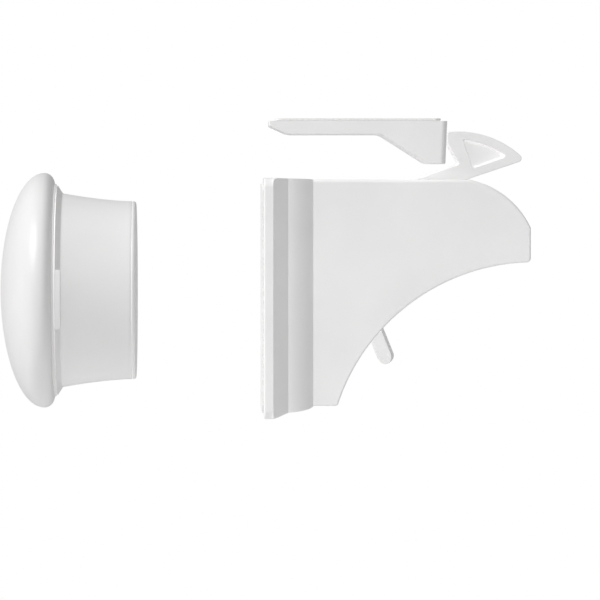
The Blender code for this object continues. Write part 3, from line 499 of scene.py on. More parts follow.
# %% [markdown]
# ## The key's end cover
#
# A thin disc closes the stem and touches the drawer front, so its edge is well rounded. It is one
# more spun profile, with a spigot behind that centres it in the bore.

# %% End cover
SPIGOT_END, SPIGOT_RADIUS, COVER_BACK, COVER_FACE = -30.7, 17.55, -29.0, -28.2
bm = polygon((SPIGOT_END, 0), (SPIGOT_END, SPIGOT_RADIUS), (COVER_BACK, SPIGOT_RADIUS),
             (COVER_BACK, STEM_RADIUS), (COVER_FACE, STEM_RADIUS), (COVER_FACE, 0))
soften(bm, COVER_FACE, STEM_RADIUS, 0.6, 6)
soften(bm, COVER_BACK, STEM_RADIUS, 0.12, 2)
cover = to_object("key_end_cover", turned(bm))
finish_piece(cover, "key", "key_end_disc", gloss_white)

# %% [markdown]
# ## The back plate
#
# A flat plate carries the foam tape and closes the housing from behind. A grid of one face becomes
# a rounded rectangle when its four corners are bevelled as vertices; the plate is that face, pulled
# out and softened along its rims. Four countersunk screws go through it into the housing, so one
# turned cutter makes their holes in both. Two ribs centre the plate.

# %% Rounded rectangles across X
HALF_WIDTH, HALF_HEIGHT, CORNER = 18.0, 26.9, 2.2


def rounded_face(x, half_y, low, high, corner):
    bm = bmesh.new()
    bmesh.ops.create_grid(bm, x_segments=1, y_segments=1, size=MM)
    turn(bm, QUARTER, "Y")
    bmesh.ops.scale(bm, verts=bm.verts, vec=(1, half_y, (high - low) / 2))
    shift(bm, x, 0, (high + low) / 2)
    bmesh.ops.bevel(bm, geom=bm.verts[:], offset=corner * MM, offset_type="OFFSET", segments=8,
                    profile=0.5, affect="VERTICES", clamp_overlap=True, material=-1)
    return bm


def faces_in(geom):
    return [g for g in geom if isinstance(g, bmesh.types.BMFace)]


def with_edges(faces):
    """Faces and their edges: an extrusion then takes the old cap of a closed body away."""
    return list(faces) + list({e for f in faces for e in f.edges})


def grow(bm, faces, x):
    """Extrude faces along X by a distance and return the new cap."""
    made = bmesh.ops.extrude_face_region(bm, geom=with_edges(faces))["geom"]
    bmesh.ops.translate(bm, verts=verts_in(made), vec=(x * MM, 0, 0))
    return faces_in(made)


# %% Screw holes
PLATE_BACK, PLATE_FRONT = 0.5, 2.55
SCREW_HEAD, SCREW_SHANK, SCREW_TIP, SCREW_ROOM = 2.4, 1.2, 0.36, 0.3
SCREW_SINK, SCREW_POINT, SCREW_LENGTH = 1.3, 1.2, 7.2
screw_places = [(y, z) for y in (-12.5, 12.5) for z in (-21.5, 21.5)]


def cut_screw_holes(piece):
    """Cut room for the countersunk screws that enter from the plate's back."""
    head, shank = SCREW_HEAD + SCREW_ROOM, SCREW_SHANK + SCREW_ROOM
    before, end = PLATE_BACK - SCREW_ROOM, PLATE_BACK + SCREW_LENGTH + SCREW_ROOM
    for y, z in screw_places:
        bm = polygon((before, 0), (before, head), (PLATE_BACK, head), (PLATE_BACK + SCREW_SINK, shank),
                     (PLATE_BACK + SCREW_LENGTH - SCREW_POINT, shank), (end, SCREW_TIP), (end, 0))
        combine(piece, turned(bm, y, z, 32), "DIFFERENCE")
    print("screw holes", len(screw_places), "in", piece.name)


# %% Back plate
RIB_PLACES, RIB_THICK, RIB_HALF, RIB_ROOT, RIB_END = (-22.1, 23.15), 1.2, 6, 1.5, 4.3
bm = rounded_face(PLATE_BACK, HALF_WIDTH, -HALF_HEIGHT, HALF_HEIGHT, CORNER)
grow(bm, bm.faces[:], PLATE_FRONT - PLATE_BACK)
outward(bm)
round_edges(bm, 0.35, 4, lambda e: max(v.co.x for v in e.verts) < (PLATE_BACK + 0.01) * MM)
plate = to_object("back_plate_moulding", bm)
for z in RIB_PLACES:
    combine(plate, brick((RIB_ROOT, -RIB_HALF, z), (RIB_END, RIB_HALF, z + RIB_THICK)), "UNION")
cut_screw_holes(plate)
finish_piece(plate, "lock_body", "back_plate", satin_white)

# %% [markdown]
# ## The housing's stepped base
#
# The base steps down from the plate to the two cheeks: first a flat chamfer, then a rounded
# shoulder. Drawing in the first block at its sides would twist the chamfer at the rounded corners,
# so a plane cuts it straight across them and the cut is filled. The shoulder is the cap extruded in
# small steps, each drawn in more at the sides than at the bottom, and hardly at all at the top, where
# everything stays flush. It ends a hair outside the cheeks, so that joining the two never meets faces
# in one plane.

# %% Stepped base
BASE_BACK, BASE_STEP, BASE_FRONT = PLATE_FRONT, 5.95, 11.6
CHEEK, CHEEK_LOW, CHEEK_TOP, BASE_CORNER = 10.5, -24.25, 26.5, 1.1


def draw_in(bm, cap, half_y, low, high):
    """Fit a cap to a new half width and to new lower and upper ends."""
    verts = list({v for f in cap for v in f.verts})
    z = [v.co.z for v in verts]
    y = max(v.co.y for v in verts)
    middle = Vector((0, 0, (max(z) + min(z)) / 2))
    bmesh.ops.scale(bm, verts=verts, vec=(1, half_y * MM / y, (high - low) * MM / (max(z) - min(z))),
                    space=Matrix.Translation(-middle))
    bmesh.ops.translate(bm, verts=verts, vec=Vector((0, 0, (high + low) / 2 * MM)) - middle)


STEP_SIDE, STEP_LOW, STEP_TOP = HALF_WIDTH - 3.4, -HALF_HEIGHT + 1.35, HALF_HEIGHT - 0.15
LAP = 0.02
chamfer = BASE_STEP - BASE_BACK
bm = rounded_face(BASE_BACK, HALF_WIDTH, -HALF_HEIGHT, HALF_HEIGHT, BASE_CORNER)
cap = grow(bm, bm.faces[:], chamfer)
draw_in(bm, cap, HALF_WIDTH, STEP_LOW, STEP_TOP)
outward(bm)
for side in (-1, 1):
    cut = bmesh.ops.bisect_plane(bm, geom=bm.verts[:] + bm.edges[:] + bm.faces[:], dist=WELD * MM,
                                 plane_co=(BASE_BACK * MM, side * (HALF_WIDTH - LAP) * MM, 0),
                                 plane_no=(HALF_WIDTH - STEP_SIDE, side * chamfer, 0), clear_outer=True)
    bmesh.ops.edgeloop_fill(bm, edges=[e for e in cut["geom_cut"] if isinstance(e, bmesh.types.BMEdge)])
outward(bm)
cap = [f for f in bm.faces if f.normal.x > 0.99]
print("chamfer", chamfer, "mm deep")

# %% Rounded shoulder
STEPS, FIRST, LAST = 20, math.radians(17), math.radians(81)
done = 0
for i in range(1, STEPS + 1):
    angle = FIRST + (LAST - FIRST) * i / STEPS
    along = (math.sin(angle) - math.sin(FIRST)) / (math.sin(LAST) - math.sin(FIRST))
    inward = (math.cos(FIRST) - math.cos(angle)) / (math.cos(FIRST) - math.cos(LAST))
    cap = grow(bm, cap, (BASE_FRONT - BASE_STEP) * (along - done))
    draw_in(bm, cap, STEP_SIDE + (CHEEK + LAP - STEP_SIDE) * inward,
            STEP_LOW + (CHEEK_LOW - LAP - STEP_LOW) * inward,
            STEP_TOP + (CHEEK_TOP + LAP - STEP_TOP) * inward)
    done = along
outward(bm)
housing = to_object("lock_housing_moulding", bm)
print("base from", BASE_BACK, "to", BASE_FRONT, "mm")

# %% [markdown]
# ## Cheeks, crown and undercut
#
# Seen from the side, the cheeks run level along the top, fall in a round crown to a short upright
# front, and sweep back to the base in one large hollow arc. The pen draws this once for the outside
# and once, a wall's thickness in, for the hollow that the latch swings in. The rim is softer along
# the top, where it catches the light, than along the undercut. One bevel width can't do that, so a
# Bevel modifier reads a weight from each rim edge, and the weight falls off down the crown.

# %% Cheek outline
FRONT = 60.4
CROWN = (42.8, 7.5, 19.4)
UNDERCUT = (61.15, -38.35, 46.3)
WALL = 2.0


def cheek_outline(inset, back):
    """Side view of the cheeks, drawn in by an inset; CROWN and UNDERCUT hold a centre and a radius."""
    low, top, front = CHEEK_LOW + inset, CHEEK_TOP - inset, FRONT - inset
    crown_x, crown_z, crown_r = CROWN[0], CROWN[1], CROWN[2] - inset
    under_x, under_z, under_r = UNDERCUT[0], UNDERCUT[1], UNDERCUT[2] + inset
    heel = 180 - math.degrees(math.asin((low - under_z) / under_r))
    toe = math.degrees(math.acos((front - under_x) / under_r))
    crown_front = math.degrees(math.acos((front - crown_x) / crown_r))
    crown_top = math.degrees(math.asin((top - crown_z) / crown_r))
    bm, tip = pen(back, low)
    tip = line(bm, tip, under_x + under_r * math.cos(math.radians(heel)), low)
    tip = arc(bm, tip, under_x, under_z, toe - heel, 64)
    tip = line(bm, tip, front, crown_z + crown_r * math.sin(math.radians(crown_front)))
    tip = arc(bm, tip, crown_x, crown_z, crown_top - crown_front, 30)
    tip = line(bm, tip, back, top)
    close(bm, tip)
    soften(bm, front, under_z + under_r * math.sin(math.radians(toe)), 1.3, 8)
    return bm


# %% Fillet with a falling width
RIM, RIM_LEAST, RIM_FROM, RIM_SPAN = 0.7, 0.55, 26, 51


def rim_weight(edge):
    """Nothing inside the base, all of the fillet along the top, and less and less down the crown."""
    a, b = (v.co for v in edge.verts)
    if abs(a.y - b.y) > 0.01 * MM or max(a.x, b.x) < (BASE_STEP + 1.1) * MM:
        return 0
    middle = (a + b) / (2 * MM)
    angle = math.degrees(math.atan2(middle.z - CROWN[1], middle.x - CROWN[0]))
    return min(1, max(RIM_LEAST, RIM_LEAST + (1 - RIM_LEAST) * (angle - RIM_FROM) / RIM_SPAN))


def weighted_fillet(bm, width, segments, weight):
    """Fillet sharp edges with a share of the full width, read from each edge's weight."""
    weights = bm.edges.layers.float.new("bevel_weight_edge")
    bm.normal_update()
    for edge in bm.edges:
        if edge.calc_face_angle(0) > math.radians(60):
            edge[weights] = weight(edge)
    shape = to_object("weighted_fillet", bm.copy())
    fillet = shape.modifiers.new("fillet", "BEVEL")
    fillet.limit_method = "WEIGHT"
    fillet.width = width * MM
    fillet.segments = segments
    bpy.context.view_layer.update()
    bm.clear()
    bm.from_object(shape, bpy.context.evaluated_depsgraph_get())
    bpy.data.objects.remove(shape)
    outward(bm)


# %% Cheeks
HEEL = 17.05
bm = cheek_outline(0, BASE_STEP + 1)
soften(bm, HEEL, CHEEK_LOW, 0.5, 4)
pull_out(bm, -CHEEK, CHEEK)
weighted_fillet(bm, RIM, 6, rim_weight)
combine(housing, bm, "UNION")
combine(housing, pull_out(cheek_outline(WALL, 1.0), -CHEEK + WALL, CHEEK - WALL), "DIFFERENCE")
print("cheeks to", FRONT, "mm")

# %% [markdown]
# ## Slots and bores in the housing
#
# The hook works through a slot in the top and crown, the off switch through a slot in the undercut,
# and both turn on pins whose bores end inside the near cheek and come through the far one. Each
# opening is one cutter that reaches well past the wall.

# %% Slots and bores
PIVOT, SWITCH = (17.0, 18.6), (24.158, -3.855)
ARM, SLOT_ROOM, SLOT_START, SLOT_LOW = 6.0, 0.6, 28.21, 17.4
ON, OFF = math.radians(-68), math.radians(-28)
LEVER_ROOM, LEVER_REACH, LEVER_SLOT = 2.3, 13.7, 3.8
LATCH_PIN, SWITCH_PIN, PIN_ROOM, PIN_BLIND = 1.5, 1.0, 0.08, -9.7


def by_switch(angle, along, offset):
    """A place along and beside a line that leaves the switch's pin at an angle."""
    return (SWITCH[0] + along * math.cos(angle) - offset * math.sin(angle),
            SWITCH[1] + along * math.sin(angle) + offset * math.cos(angle))


bm = brick((SLOT_START, -ARM - SLOT_ROOM, SLOT_LOW), (FRONT + 2.6, ARM + SLOT_ROOM, CHEEK_TOP + 2.5))
round_edges(bm, 0.8, 5, lambda e: rise(e) > 1 and e.verts[0].co.x < (SLOT_START + 1) * MM)
combine(housing, bm, "DIFFERENCE")
bm = polygon(by_switch(ON, 0, -LEVER_ROOM), by_switch(ON, LEVER_REACH, -LEVER_ROOM),
             by_switch(OFF, LEVER_REACH, LEVER_ROOM), by_switch(OFF, 0, LEVER_ROOM))
combine(housing, pull_out(bm, -LEVER_SLOT, LEVER_SLOT), "DIFFERENCE")
for place, radius in ((PIVOT, LATCH_PIN), (SWITCH, SWITCH_PIN)):
    combine(housing, rod(*place, radius + PIN_ROOM, PIN_BLIND, CHEEK + 2, 48), "DIFFERENCE")
cut_screw_holes(housing)
finish_piece(housing, "lock_body", "lock_housing", satin_white)

# %% [markdown]
# ## The hook and its arm
#
# The hook is the piece that the eye goes to: an arched back, a flat nose, an undercut face that
# grips the catch's lip, and a three-cornered recess in each side with sloping walls. Its outline is
# drawn with the pen. The blunt tip is a small arc that touches both the arched back and the arm's
# lower edge, and its centre is worked out from a line and a circle, so that the tip closes by itself.
# A fine groove under the upper wall of each recess catches the light as a thin line.

# %% Hook outline
TILT = math.radians(18.69)
HALF_ARM = 1.9
HOOK_FACE, HOOK_TOP, HOOK_R, TIP_R = 41.8, 37.33, 20.9, 0.9
HOOK_CENTRE = (44.3, HOOK_TOP - HOOK_R)
NOTCH_BACK, NOSE = 2.8, 2.4


def beside_arm(along, offset):
    """A place along and beside the arm's middle line, seen from its pin."""
    return (PIVOT[0] + along * math.cos(TILT) - offset * math.sin(TILT),
            PIVOT[1] + along * math.sin(TILT) + offset * math.cos(TILT))


def arm_reach(offset, radius):
    """How far along the arm a line beside it meets a circle about the arched back's centre."""
    x, z = beside_arm(0, offset)
    x, z = x - HOOK_CENTRE[0], z - HOOK_CENTRE[1]
    dot = x * math.cos(TILT) + z * math.sin(TILT)
    return -dot + math.sqrt(dot * dot - x * x - z * z + radius ** 2)


crest = HOOK_CENTRE[1] + math.sqrt(HOOK_R ** 2 - (HOOK_FACE - HOOK_CENTRE[0]) ** 2)
notch = beside_arm((HOOK_FACE + NOTCH_BACK - PIVOT[0] + HALF_ARM * math.sin(TILT)) / math.cos(TILT), HALF_ARM)
tip_beside = TIP_R - HALF_ARM
tip_centre = beside_arm(arm_reach(tip_beside, HOOK_R - TIP_R), tip_beside)
back_from = math.degrees(math.atan2(crest - HOOK_CENTRE[1], HOOK_FACE - HOOK_CENTRE[0]))
back_to = math.degrees(math.atan2(tip_centre[1] - HOOK_CENTRE[1], tip_centre[0] - HOOK_CENTRE[0]))
bm, tip = pen(*beside_arm(0, HALF_ARM))
for x, z in (notch, (HOOK_FACE, crest - NOSE), (HOOK_FACE, crest)):
    tip = line(bm, tip, x, z)
tip = arc(bm, tip, *HOOK_CENTRE, back_to - back_from, 40)
tip = arc(bm, tip, *tip_centre, math.degrees(TILT) - 90 - back_to, 12)
tip = line(bm, tip, *beside_arm(0, -HALF_ARM))
close(bm, tip)
soften(bm, *notch, 0.5)
soften(bm, HOOK_FACE, crest - NOSE, 0.5)
soften(bm, HOOK_FACE, crest, 0.35)
pull_out(bm, -ARM, ARM)
round_edges(bm, 0.22, 3, lambda e: abs(e.verts[0].co.y - e.verts[1].co.y) < 0.01 * MM, sharp=60)
latch = to_object("latch_moulding", bm)
print("hook tip rounded about", [round(v, 2) for v in tip_centre], "mm")

# %% Recesses in the hook's sides
RECESS, DRAFT, SPARE = 1.4, 0.9, 0.2
RECESS_CORNERS = ((45.2, 35.75, 0.6), (47.45, 28.8, 0.7), (55.8, 31.7, 1.6), (50.6, 34.6, 2.4))
DRAWN_TO = Vector((47.6 * MM, 0, 34.6 * MM))
for side in (-1, 1):
    bm = polygon(*[(x, z) for x, z, radius in RECESS_CORNERS])
    for x, z, radius in RECESS_CORNERS:
        soften(bm, x, z, radius, 8)
    shift(bm, 0, side * (ARM + SPARE), 0)
    base = verts_in(bmesh.ops.extrude_face_region(bm, geom=bm.faces[:])["geom"])
    bmesh.ops.scale(bm, verts=base, vec=(DRAFT, 1, DRAFT), space=Matrix.Translation(-DRAWN_TO))
    bmesh.ops.translate(bm, verts=base, vec=(0, -side * (RECESS + SPARE) * MM, 0))
    outward(bm)
    combine(latch, bm, "DIFFERENCE")
print("recesses", RECESS, "mm deep")

# %% Grooves along the recesses' upper walls
GROOVE, GROOVE_DEPTH, GROOVE_LEAN = 0.6, 0.9, 0.85
GROOVE_PATH = ((45.9, 35.45), (50.3, 34.4), (54.2, 32.45))
fall = math.radians(17)
across = Vector((math.sin(fall), 0, math.cos(fall)))
lower = [(x - GROOVE * across.x, z - GROOVE * across.z) for x, z in GROOVE_PATH]
for side in (-1, 1):
    bm = polygon(GROOVE_PATH[0], *lower, *GROOVE_PATH[:0:-1])
    shift(bm, 0, side * (ARM - RECESS + SPARE), 0)
    base = verts_in(bmesh.ops.extrude_face_region(bm, geom=bm.faces[:])["geom"])
    inwards = Vector((0, side * (GROOVE_DEPTH + SPARE) * MM, 0))
    bmesh.ops.translate(bm, verts=base, vec=across * GROOVE * GROOVE_LEAN * MM - inwards)
    outward(bm)
    combine(latch, bm, "DIFFERENCE")
print("grooves", GROOVE, "mm wide")

# %% [markdown]
# ## Hub, leg and magnet case
#
# Inside the housing the latch is a rocker: a hub on the pin, and a leg that carries the magnet's
# case. The case stands parallel to the back plate once the key has drawn it in, so it is drawn in
# that place and turned back by the swing.

# %% Hub, leg and case
SWING = math.radians(16)
HUB, HUB_HALF, COIL_ROOM, COIL_HALF, BORE_HALF = 4.0, 8.2, 5.0, 3.1, 9
CASE_FACE, CASE_DEPTH, CASE_HALF, CASE_MIDDLE = -13.6, 5.6, 7.7, KEY_Z - PIVOT[1]
LEG, LEG_ROOT, LEG_FOOT = 2.4, 3.0, 4.2
case_back, case_top, case_low = CASE_FACE + CASE_DEPTH, CASE_MIDDLE + CASE_HALF, CASE_MIDDLE - CASE_HALF


def at_rest(x, z):
    """A place seen from the pivot with the hook down, carried back to rest."""
    return (PIVOT[0] + x * math.cos(SWING) - z * math.sin(SWING),
            PIVOT[1] + x * math.sin(SWING) + z * math.cos(SWING))


combine(latch, rod(*PIVOT, HUB, -HUB_HALF, HUB_HALF), "UNION")
bm = polygon(at_rest(-LEG_ROOT, LEG), at_rest(case_back - LEG_FOOT, case_top),
             at_rest(case_back - LEG_FOOT, case_top - LEG_FOOT), at_rest(case_back, case_top - LEG_FOOT),
             at_rest(LEG, -LEG_ROOT))
combine(latch, pull_out(bm, -ARM, ARM), "UNION")
bm = polygon(at_rest(CASE_FACE, case_top), at_rest(CASE_FACE, case_low), at_rest(case_back, case_low),
             at_rest(case_back, case_top))
pull_out(bm, -CASE_HALF, CASE_HALF)
round_edges(bm, 0.8, 4)
combine(latch, bm, "UNION")
combine(latch, rod(*PIVOT, COIL_ROOM, -COIL_HALF, COIL_HALF), "DIFFERENCE")
combine(latch, rod(*PIVOT, LATCH_PIN + PIN_ROOM, -BORE_HALF, BORE_HALF, 48), "DIFFERENCE")
print("case turned back by", round(math.degrees(SWING)), "degrees")

# %% Seats for the magnet and its cover
COVER_SEAT, MAGNET_POCKET, BEFORE = (0.9, 6.85), (4.0, 6.15), 2
case_x, case_z = at_rest(CASE_FACE, CASE_MIDDLE)
for depth, radius in (COVER_SEAT, MAGNET_POCKET):
    bm = bar(radius, depth + BEFORE)
    turn(bm, QUARTER, "Y")
    shift(bm, (depth - BEFORE) / 2, 0, 0)
    turn(bm, -SWING, "Y")
    shift(bm, case_x, 0, case_z)
    outward(bm)
    combine(latch, bm, "DIFFERENCE")
finish_piece(latch, "latch", "latch_arm", satin_white)

# %% [markdown]
# ## The off switch
#
# A short lever with a round end shows below the undercut. Inside, its hub sits on a pin and a cam
# holds the long leg of the spring. The lever is a slot shape: two straight sides and half a circle.
# Its right flank slopes towards both faces. A bevel would round it off, so each face is extruded
# once more and narrowed across the lever, in a space that is turned with it.

# %% Off switch lever
LEVER_HALF, LEVER_LENGTH, LEVER_SHIFT, LEVER_SIDE = 1.85, 12.0, 0.15, 3.5
FLANK, FLANK_DEPTH = 0.65, 1.2
straight = LEVER_LENGTH - LEVER_HALF
left, right = LEVER_SHIFT - LEVER_HALF, LEVER_SHIFT + LEVER_HALF
bm, tip = pen(*by_switch(ON, 0, right))
for along in (0, straight):
    tip = line(bm, tip, *by_switch(ON, along, left))
tip = arc(bm, tip, *by_switch(ON, straight, LEVER_SHIFT), 180, 24)
close(bm, tip)
pull_out(bm, FLANK_DEPTH - LEVER_SIDE, LEVER_SIDE - FLANK_DEPTH)
left_flank = Vector((*by_switch(ON, 0, left), 0)).xzy * MM
lever_space = Matrix.Rotation(ON, 4, "Y") @ Matrix.Translation(-left_flank)
for side in (-1, 1):
    cap = [f for f in bm.faces if f.normal.y * side > 0.99]
    rim = verts_in(bmesh.ops.extrude_face_region(bm, geom=with_edges(cap))["geom"])
    bmesh.ops.translate(bm, verts=rim, vec=(0, side * FLANK_DEPTH * MM, 0))
    bmesh.ops.scale(bm, verts=rim, vec=(1, 1, 1 - FLANK / (2 * LEVER_HALF)), space=lever_space)
outward(bm)
round_edges(bm, 0.1, 2, lambda e: min(abs(v.co.y) for v in e.verts) > (LEVER_SIDE - 0.01) * MM, sharp=20)
switch = to_object("off_switch_moulding", bm)
print("lever", LEVER_LENGTH, "mm from its pin")

# %% Off switch hub and cam
SWITCH_HUB, COIL, LEG_TILT = 2.2, 2.5, math.radians(15.74)
CAM_TOP, CAM_FOOT, CAM_NEAR, CAM_FAR = 16.95, 21.45, 0.5, 2.2
leg_x, leg_z = PIVOT[0] + COIL * math.cos(LEG_TILT), PIVOT[1] + COIL * math.sin(LEG_TILT)


def beside_leg(along, offset):
    """A place down and beside the long leg of the spring, seen from where it leaves the coil."""
    return (leg_x + along * math.sin(LEG_TILT) - offset * math.cos(LEG_TILT),
            leg_z - along * math.cos(LEG_TILT) - offset * math.sin(LEG_TILT))


combine(switch, rod(*SWITCH, SWITCH_HUB, -HUB_HALF, HUB_HALF, 48), "UNION")
cam_near, cam_far = beside_leg(CAM_TOP, CAM_NEAR), beside_leg(CAM_TOP, CAM_FAR)
cam_heel, cam_foot = (SWITCH[0] - 1.64, SWITCH[1] - 0.46), beside_leg(CAM_FOOT, CAM_NEAR)
bm = polygon(cam_near, cam_far, cam_heel, SWITCH, cam_foot)
soften(bm, *cam_near, 0.4)
soften(bm, *cam_far, 0.4)
combine(switch, pull_out(bm, -LEVER_SIDE, LEVER_SIDE), "UNION")
combine(switch, rod(*SWITCH, SWITCH_PIN + PIN_ROOM, -BORE_HALF, BORE_HALF, 48), "DIFFERENCE")
finish_piece(switch, "switch", "off_switch", satin_white)

# %% [markdown]
# ## The catch
#
# The catch is a thin plate that drops to a hollow wedge. Its end is open towards the hook, with a
# lip along the lower edge. The upright corners at that end are generously rounded, which is what
# makes the soft dark line beside the hook.

# %% Catch
CATCH_HALF, CATCH_TOP, CATCH_LOW, LIP = 14.0, 39.6, 36.6, 30.0
CATCH_START, CATCH_END, LIP_END, CATCH_WALL = 1.7, 41.5, 41.1, 1.7
SLANT_START, SLANT_END = CATCH_START + 25.1, LIP_END - 3.85
corners = ((CATCH_START, 38.5, 0.3), (CATCH_START + 4.1, CATCH_LOW, 1.0), (SLANT_START, CATCH_LOW, 0.8),
           (SLANT_END, LIP, 0.8))
bm = polygon((CATCH_START, CATCH_TOP), *[(x, z) for x, z, radius in corners], (LIP_END, LIP),
             (CATCH_END, CATCH_TOP))
for x, z, radius in corners:
    soften(bm, x, z, radius)
pull_out(bm, -CATCH_HALF, CATCH_HALF)
round_edges(bm, 1.3, 8, lambda e: min(v.co.x for v in e.verts) > (LIP_END - 0.2) * MM and rise(e) > 5)
round_edges(bm, 0.25, 3, lambda e: min(v.co.z for v in e.verts) < (CATCH_TOP - 0.1) * MM, sharp=50)
catch = to_object("catch_moulding", bm)
print("catch", round(CATCH_END - CATCH_START, 1), "mm long")

# %% Hollow of the catch
slope = Vector((SLANT_END - SLANT_START, LIP - CATCH_LOW)).normalized()
wall_x, wall_z = SLANT_START - CATCH_WALL * slope.y, CATCH_LOW + CATCH_WALL * slope.x
ceiling, floor, mouth = CATCH_TOP - CATCH_WALL, LIP + CATCH_WALL, CATCH_END + CATCH_WALL


def inner_slant(z):
    """Where the inner face of the slope is at a height."""
    return wall_x + slope.x * (z - wall_z) / slope.y


bm = polygon((inner_slant(ceiling), ceiling), (inner_slant(floor), floor), (mouth, floor), (mouth, ceiling))
pull_out(bm, CATCH_WALL - CATCH_HALF, CATCH_HALF - CATCH_WALL)
round_edges(bm, 0.5, 4)
combine(catch, bm, "DIFFERENCE")
finish_piece(catch, "strike", "catch", satin_white)

# %% [markdown]
# ## Foam tape
#
# Both units are held by white foam tape, half a millimetre thick. A die-cut pad has rounded corners
# and a slightly soft rim. The lock's pad is a rounded rectangle that is pulled out, the catch's is a
# flat block with its upright edges rounded, and both are barely bevelled along the rim.

# %% Foam pads
PAD_INSET, PAD_THICK, PAD_GAP, PAD_RIM = 1.4, 0.5, 0.1, 0.1
bm = rounded_face(0, HALF_WIDTH - PAD_INSET, PAD_INSET - HALF_HEIGHT, HALF_HEIGHT - PAD_INSET, 2.0)
grow(bm, bm.faces[:], PAD_THICK)
outward(bm)
round_edges(bm, PAD_RIM, 2)
finish_piece(to_object("lock_foam_pad", bm), "lock_body", "lock_adhesive_pad", white_foam)
bm = brick((CATCH_START + PAD_INSET, PAD_INSET - CATCH_HALF, CATCH_TOP + PAD_GAP),
           (CATCH_END - PAD_INSET, CATCH_HALF - PAD_INSET, CATCH_TOP + (PAD_GAP + PAD_THICK)))
round_edges(bm, 1.5, 6, lambda e: rise(e) > 0.1)
round_edges(bm, PAD_RIM, 2)
finish_piece(to_object("catch_foam_pad", bm), "strike", "catch_adhesive_pad", white_foam)

# %% [markdown]
# ## Spring and pins
#
# The torsion spring is one wire: a long leg that rests on the off switch, a coil round the pin and a
# short leg under the arm. A round section is swept by spinning it: first straight up the long leg,
# then round the pin with a small step sideways at each turn, then out along the arm.

# %% Spring
WIRE, PITCH, TURNS, COIL_STEP = 0.35, 1.2, 4, 7.5
LONG_LEG, SHORT_LEG = 19.95, 13
coil_turn = 360 * TURNS - 90 + math.degrees(TILT) - math.degrees(LEG_TILT)
half_width = coil_turn / 360 * PITCH / 2
bm = bmesh.new()
bmesh.ops.create_circle(bm, cap_ends=True, radius=WIRE * MM, segments=14)
turn(bm, LEG_TILT, "Y")
x, z = beside_leg(LONG_LEG, 0)
shift(bm, x, half_width, z)
made = bmesh.ops.extrude_face_region(bm, geom=bm.faces[:])["geom"]
bmesh.ops.translate(bm, verts=verts_in(made), vec=Vector((leg_x - x, 0, leg_z - z)) * MM)
steps = round(coil_turn / COIL_STEP)
made = bmesh.ops.spin(bm, geom=with_edges(faces_in(made)), cent=(PIVOT[0] * MM, 0, PIVOT[1] * MM),
                      axis=(0, -1, 0), dvec=(0, -2 * half_width / steps * MM, 0),
                      angle=math.radians(coil_turn), steps=steps)
made = bmesh.ops.extrude_face_region(bm, geom=with_edges(faces_in(made["geom_last"])))["geom"]
along_arm = Vector((math.cos(TILT), 0, math.sin(TILT))) * SHORT_LEG * MM
bmesh.ops.translate(bm, verts=verts_in(made), vec=along_arm)
outward(bm)
spring = to_object("latch_spring_wire", bm)
finish_piece(spring, None, "latch_spring", spring_steel)
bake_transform(spring)

# %% Pins
PIN_FROM, PIN_TO = -9.55, 10.35
for name, node, place, radius in (("latch_turned_pin", "latch_pin", PIVOT, LATCH_PIN),
                                  ("switch_turned_pin", "switch_pin", SWITCH, SWITCH_PIN)):
    bm = rod(*place, radius, PIN_FROM, PIN_TO, 48)
    round_edges(bm, 0.25, 3, sharp=60)
    finish_piece(to_object(name, bm), "lock_body", node, pin_steel)

# %% [markdown]
# ## Pieces that stay as they are
#
# The magnets, the steel yoke, the magnet's cover and the screws are plain turned shapes that the
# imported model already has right. They only need their finish.

# %% Finishes for the inner pieces
stays = {"latch_magnet": nickel_plate, "key_magnet": nickel_plate, "key_yoke": screw_steel,
         "latch_magnet_cover": satin_white}
stays.update({f"back_plate_screw_{n}": screw_steel for n in range(1, 5)})
for node, material in stays.items():
    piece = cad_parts[node]
    piece.data.materials.clear()
    piece.data.materials.append(material)
print("kept", len(stays), "nodes")

# %% [markdown]
# ## Studio
#
# The set is shown on white. A large soft light stands high at the left front, so faces that look
# to the right fall into a quiet grey. Weaker lamps at the front, the left and the top lift the rest,
# together with the white surroundings. None of them casts a shadow, and only the first one shows as
# a glint. The floor is a pale disc well below the set. The camera looks almost square at the lock's
# side, from a little more than a metre away.

# %% Floor
FLOOR_RADIUS, FLOOR_MIDDLE = 0.2, (0.001, 0, -0.1)
bm = bmesh.new()
bmesh.ops.create_circle(bm, cap_ends=True, radius=FLOOR_RADIUS, segments=96)
bmesh.ops.translate(bm, verts=bm.verts, vec=FLOOR_MIDDLE)
floor_disc = to_object("studio_floor", bm)
floor_paint, tree, shader, coords = new_finish("pale_studio_floor")
mottle = noise(tree, coords, 30, 2, (-700, 0))
pale = two_tone(tree, mottle, (0.86, 0.86, 0.86), (0.88, 0.88, 0.88), (-450, 0))
tree.links.new(pale, shader.inputs["Base Color"])
shader.inputs["Roughness"].default_value = 0.7
floor_disc.data.materials.append(floor_paint)
print("floor", FLOOR_RADIUS * 2, "m across")

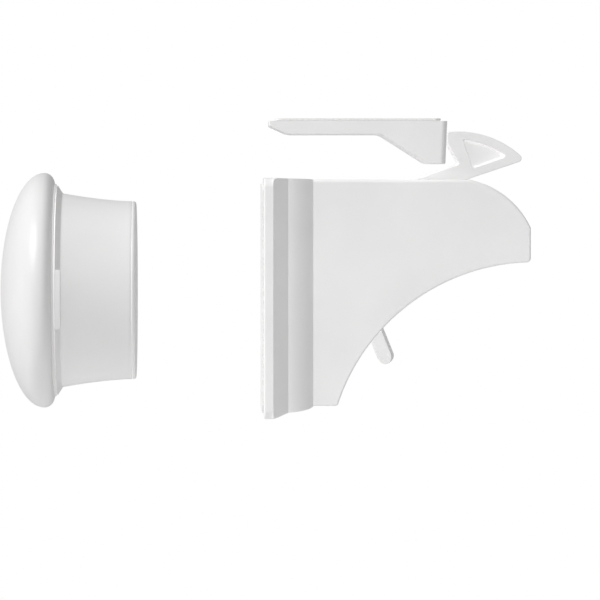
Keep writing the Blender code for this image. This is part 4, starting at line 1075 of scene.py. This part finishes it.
# %% White surroundings
ROOM = 0.432
world = bpy.data.worlds.new("white_studio")
bpy.context.scene.world = world
world.use_nodes = True
tree = world.node_tree
path = tree.nodes.new("ShaderNodeLightPath")
backdrop = tree.nodes.new("ShaderNodeMapRange")
backdrop.inputs["To Min"].default_value = ROOM
backdrop.inputs["To Max"].default_value = 1.0
tree.links.new(path.outputs["Is Camera Ray"], backdrop.inputs["Value"])
tree.nodes["Background"].inputs["Color"].default_value = (1, 1, 1, 1)
tree.links.new(backdrop.outputs["Result"], tree.nodes["Background"].inputs["Strength"])
print("surroundings at", ROOM, "of the backdrop's white")

# %% Lamps
LAMP_AIM = Vector((0.005, 0, 0.005))


def softbox(name, place, size, power, glints):
    data = bpy.data.lights.new(name, "AREA")
    data.shape = "DISK"
    data.size = size
    data.energy = power
    data.use_shadow = False
    lamp = bpy.data.objects.new(name, data)
    lamp.location = place
    lamp.rotation_euler = (LAMP_AIM - lamp.location).to_track_quat("-Z", "Y").to_euler()
    lamp.visible_glossy = glints
    bpy.context.scene.collection.objects.link(lamp)
    print("lamp", name, power, "W")


softbox("key_softbox", (-1.4, -0.8, 1.25), 1.2, 30, True)
softbox("front_fill", (-0.3, -1.95, -0.6), 0.8, 8, False)
softbox("left_fill", (-2.0, 0.7, -0.1), 0.8, 8, False)
softbox("top_fill", (0.1, -0.1, 2.0), 0.8, 5, False)
bpy.context.scene.view_settings.view_transform = "Standard"
bpy.context.scene.view_settings.look = "None"

# %% Camera
FRAME_WIDTH, SENSOR, AIM = 0.13568, 36, Vector((0.0088, 0, -0.00074))
camera_data = bpy.data.cameras.new("side_camera")
camera = bpy.data.objects.new("side_camera", camera_data)
camera.location = (-0.010, -1.100, 0.028)
camera.rotation_euler = (AIM - camera.location).to_track_quat("-Z", "Y").to_euler()
camera_data.sensor_width = SENSOR
camera_data.lens = SENSOR * abs(camera.location.y) / FRAME_WIDTH
camera_data.clip_start, camera_data.clip_end = 0.05, 20
bpy.context.scene.collection.objects.link(camera)
bpy.context.scene.camera = camera
print("lens", round(camera_data.lens, 1), "mm")
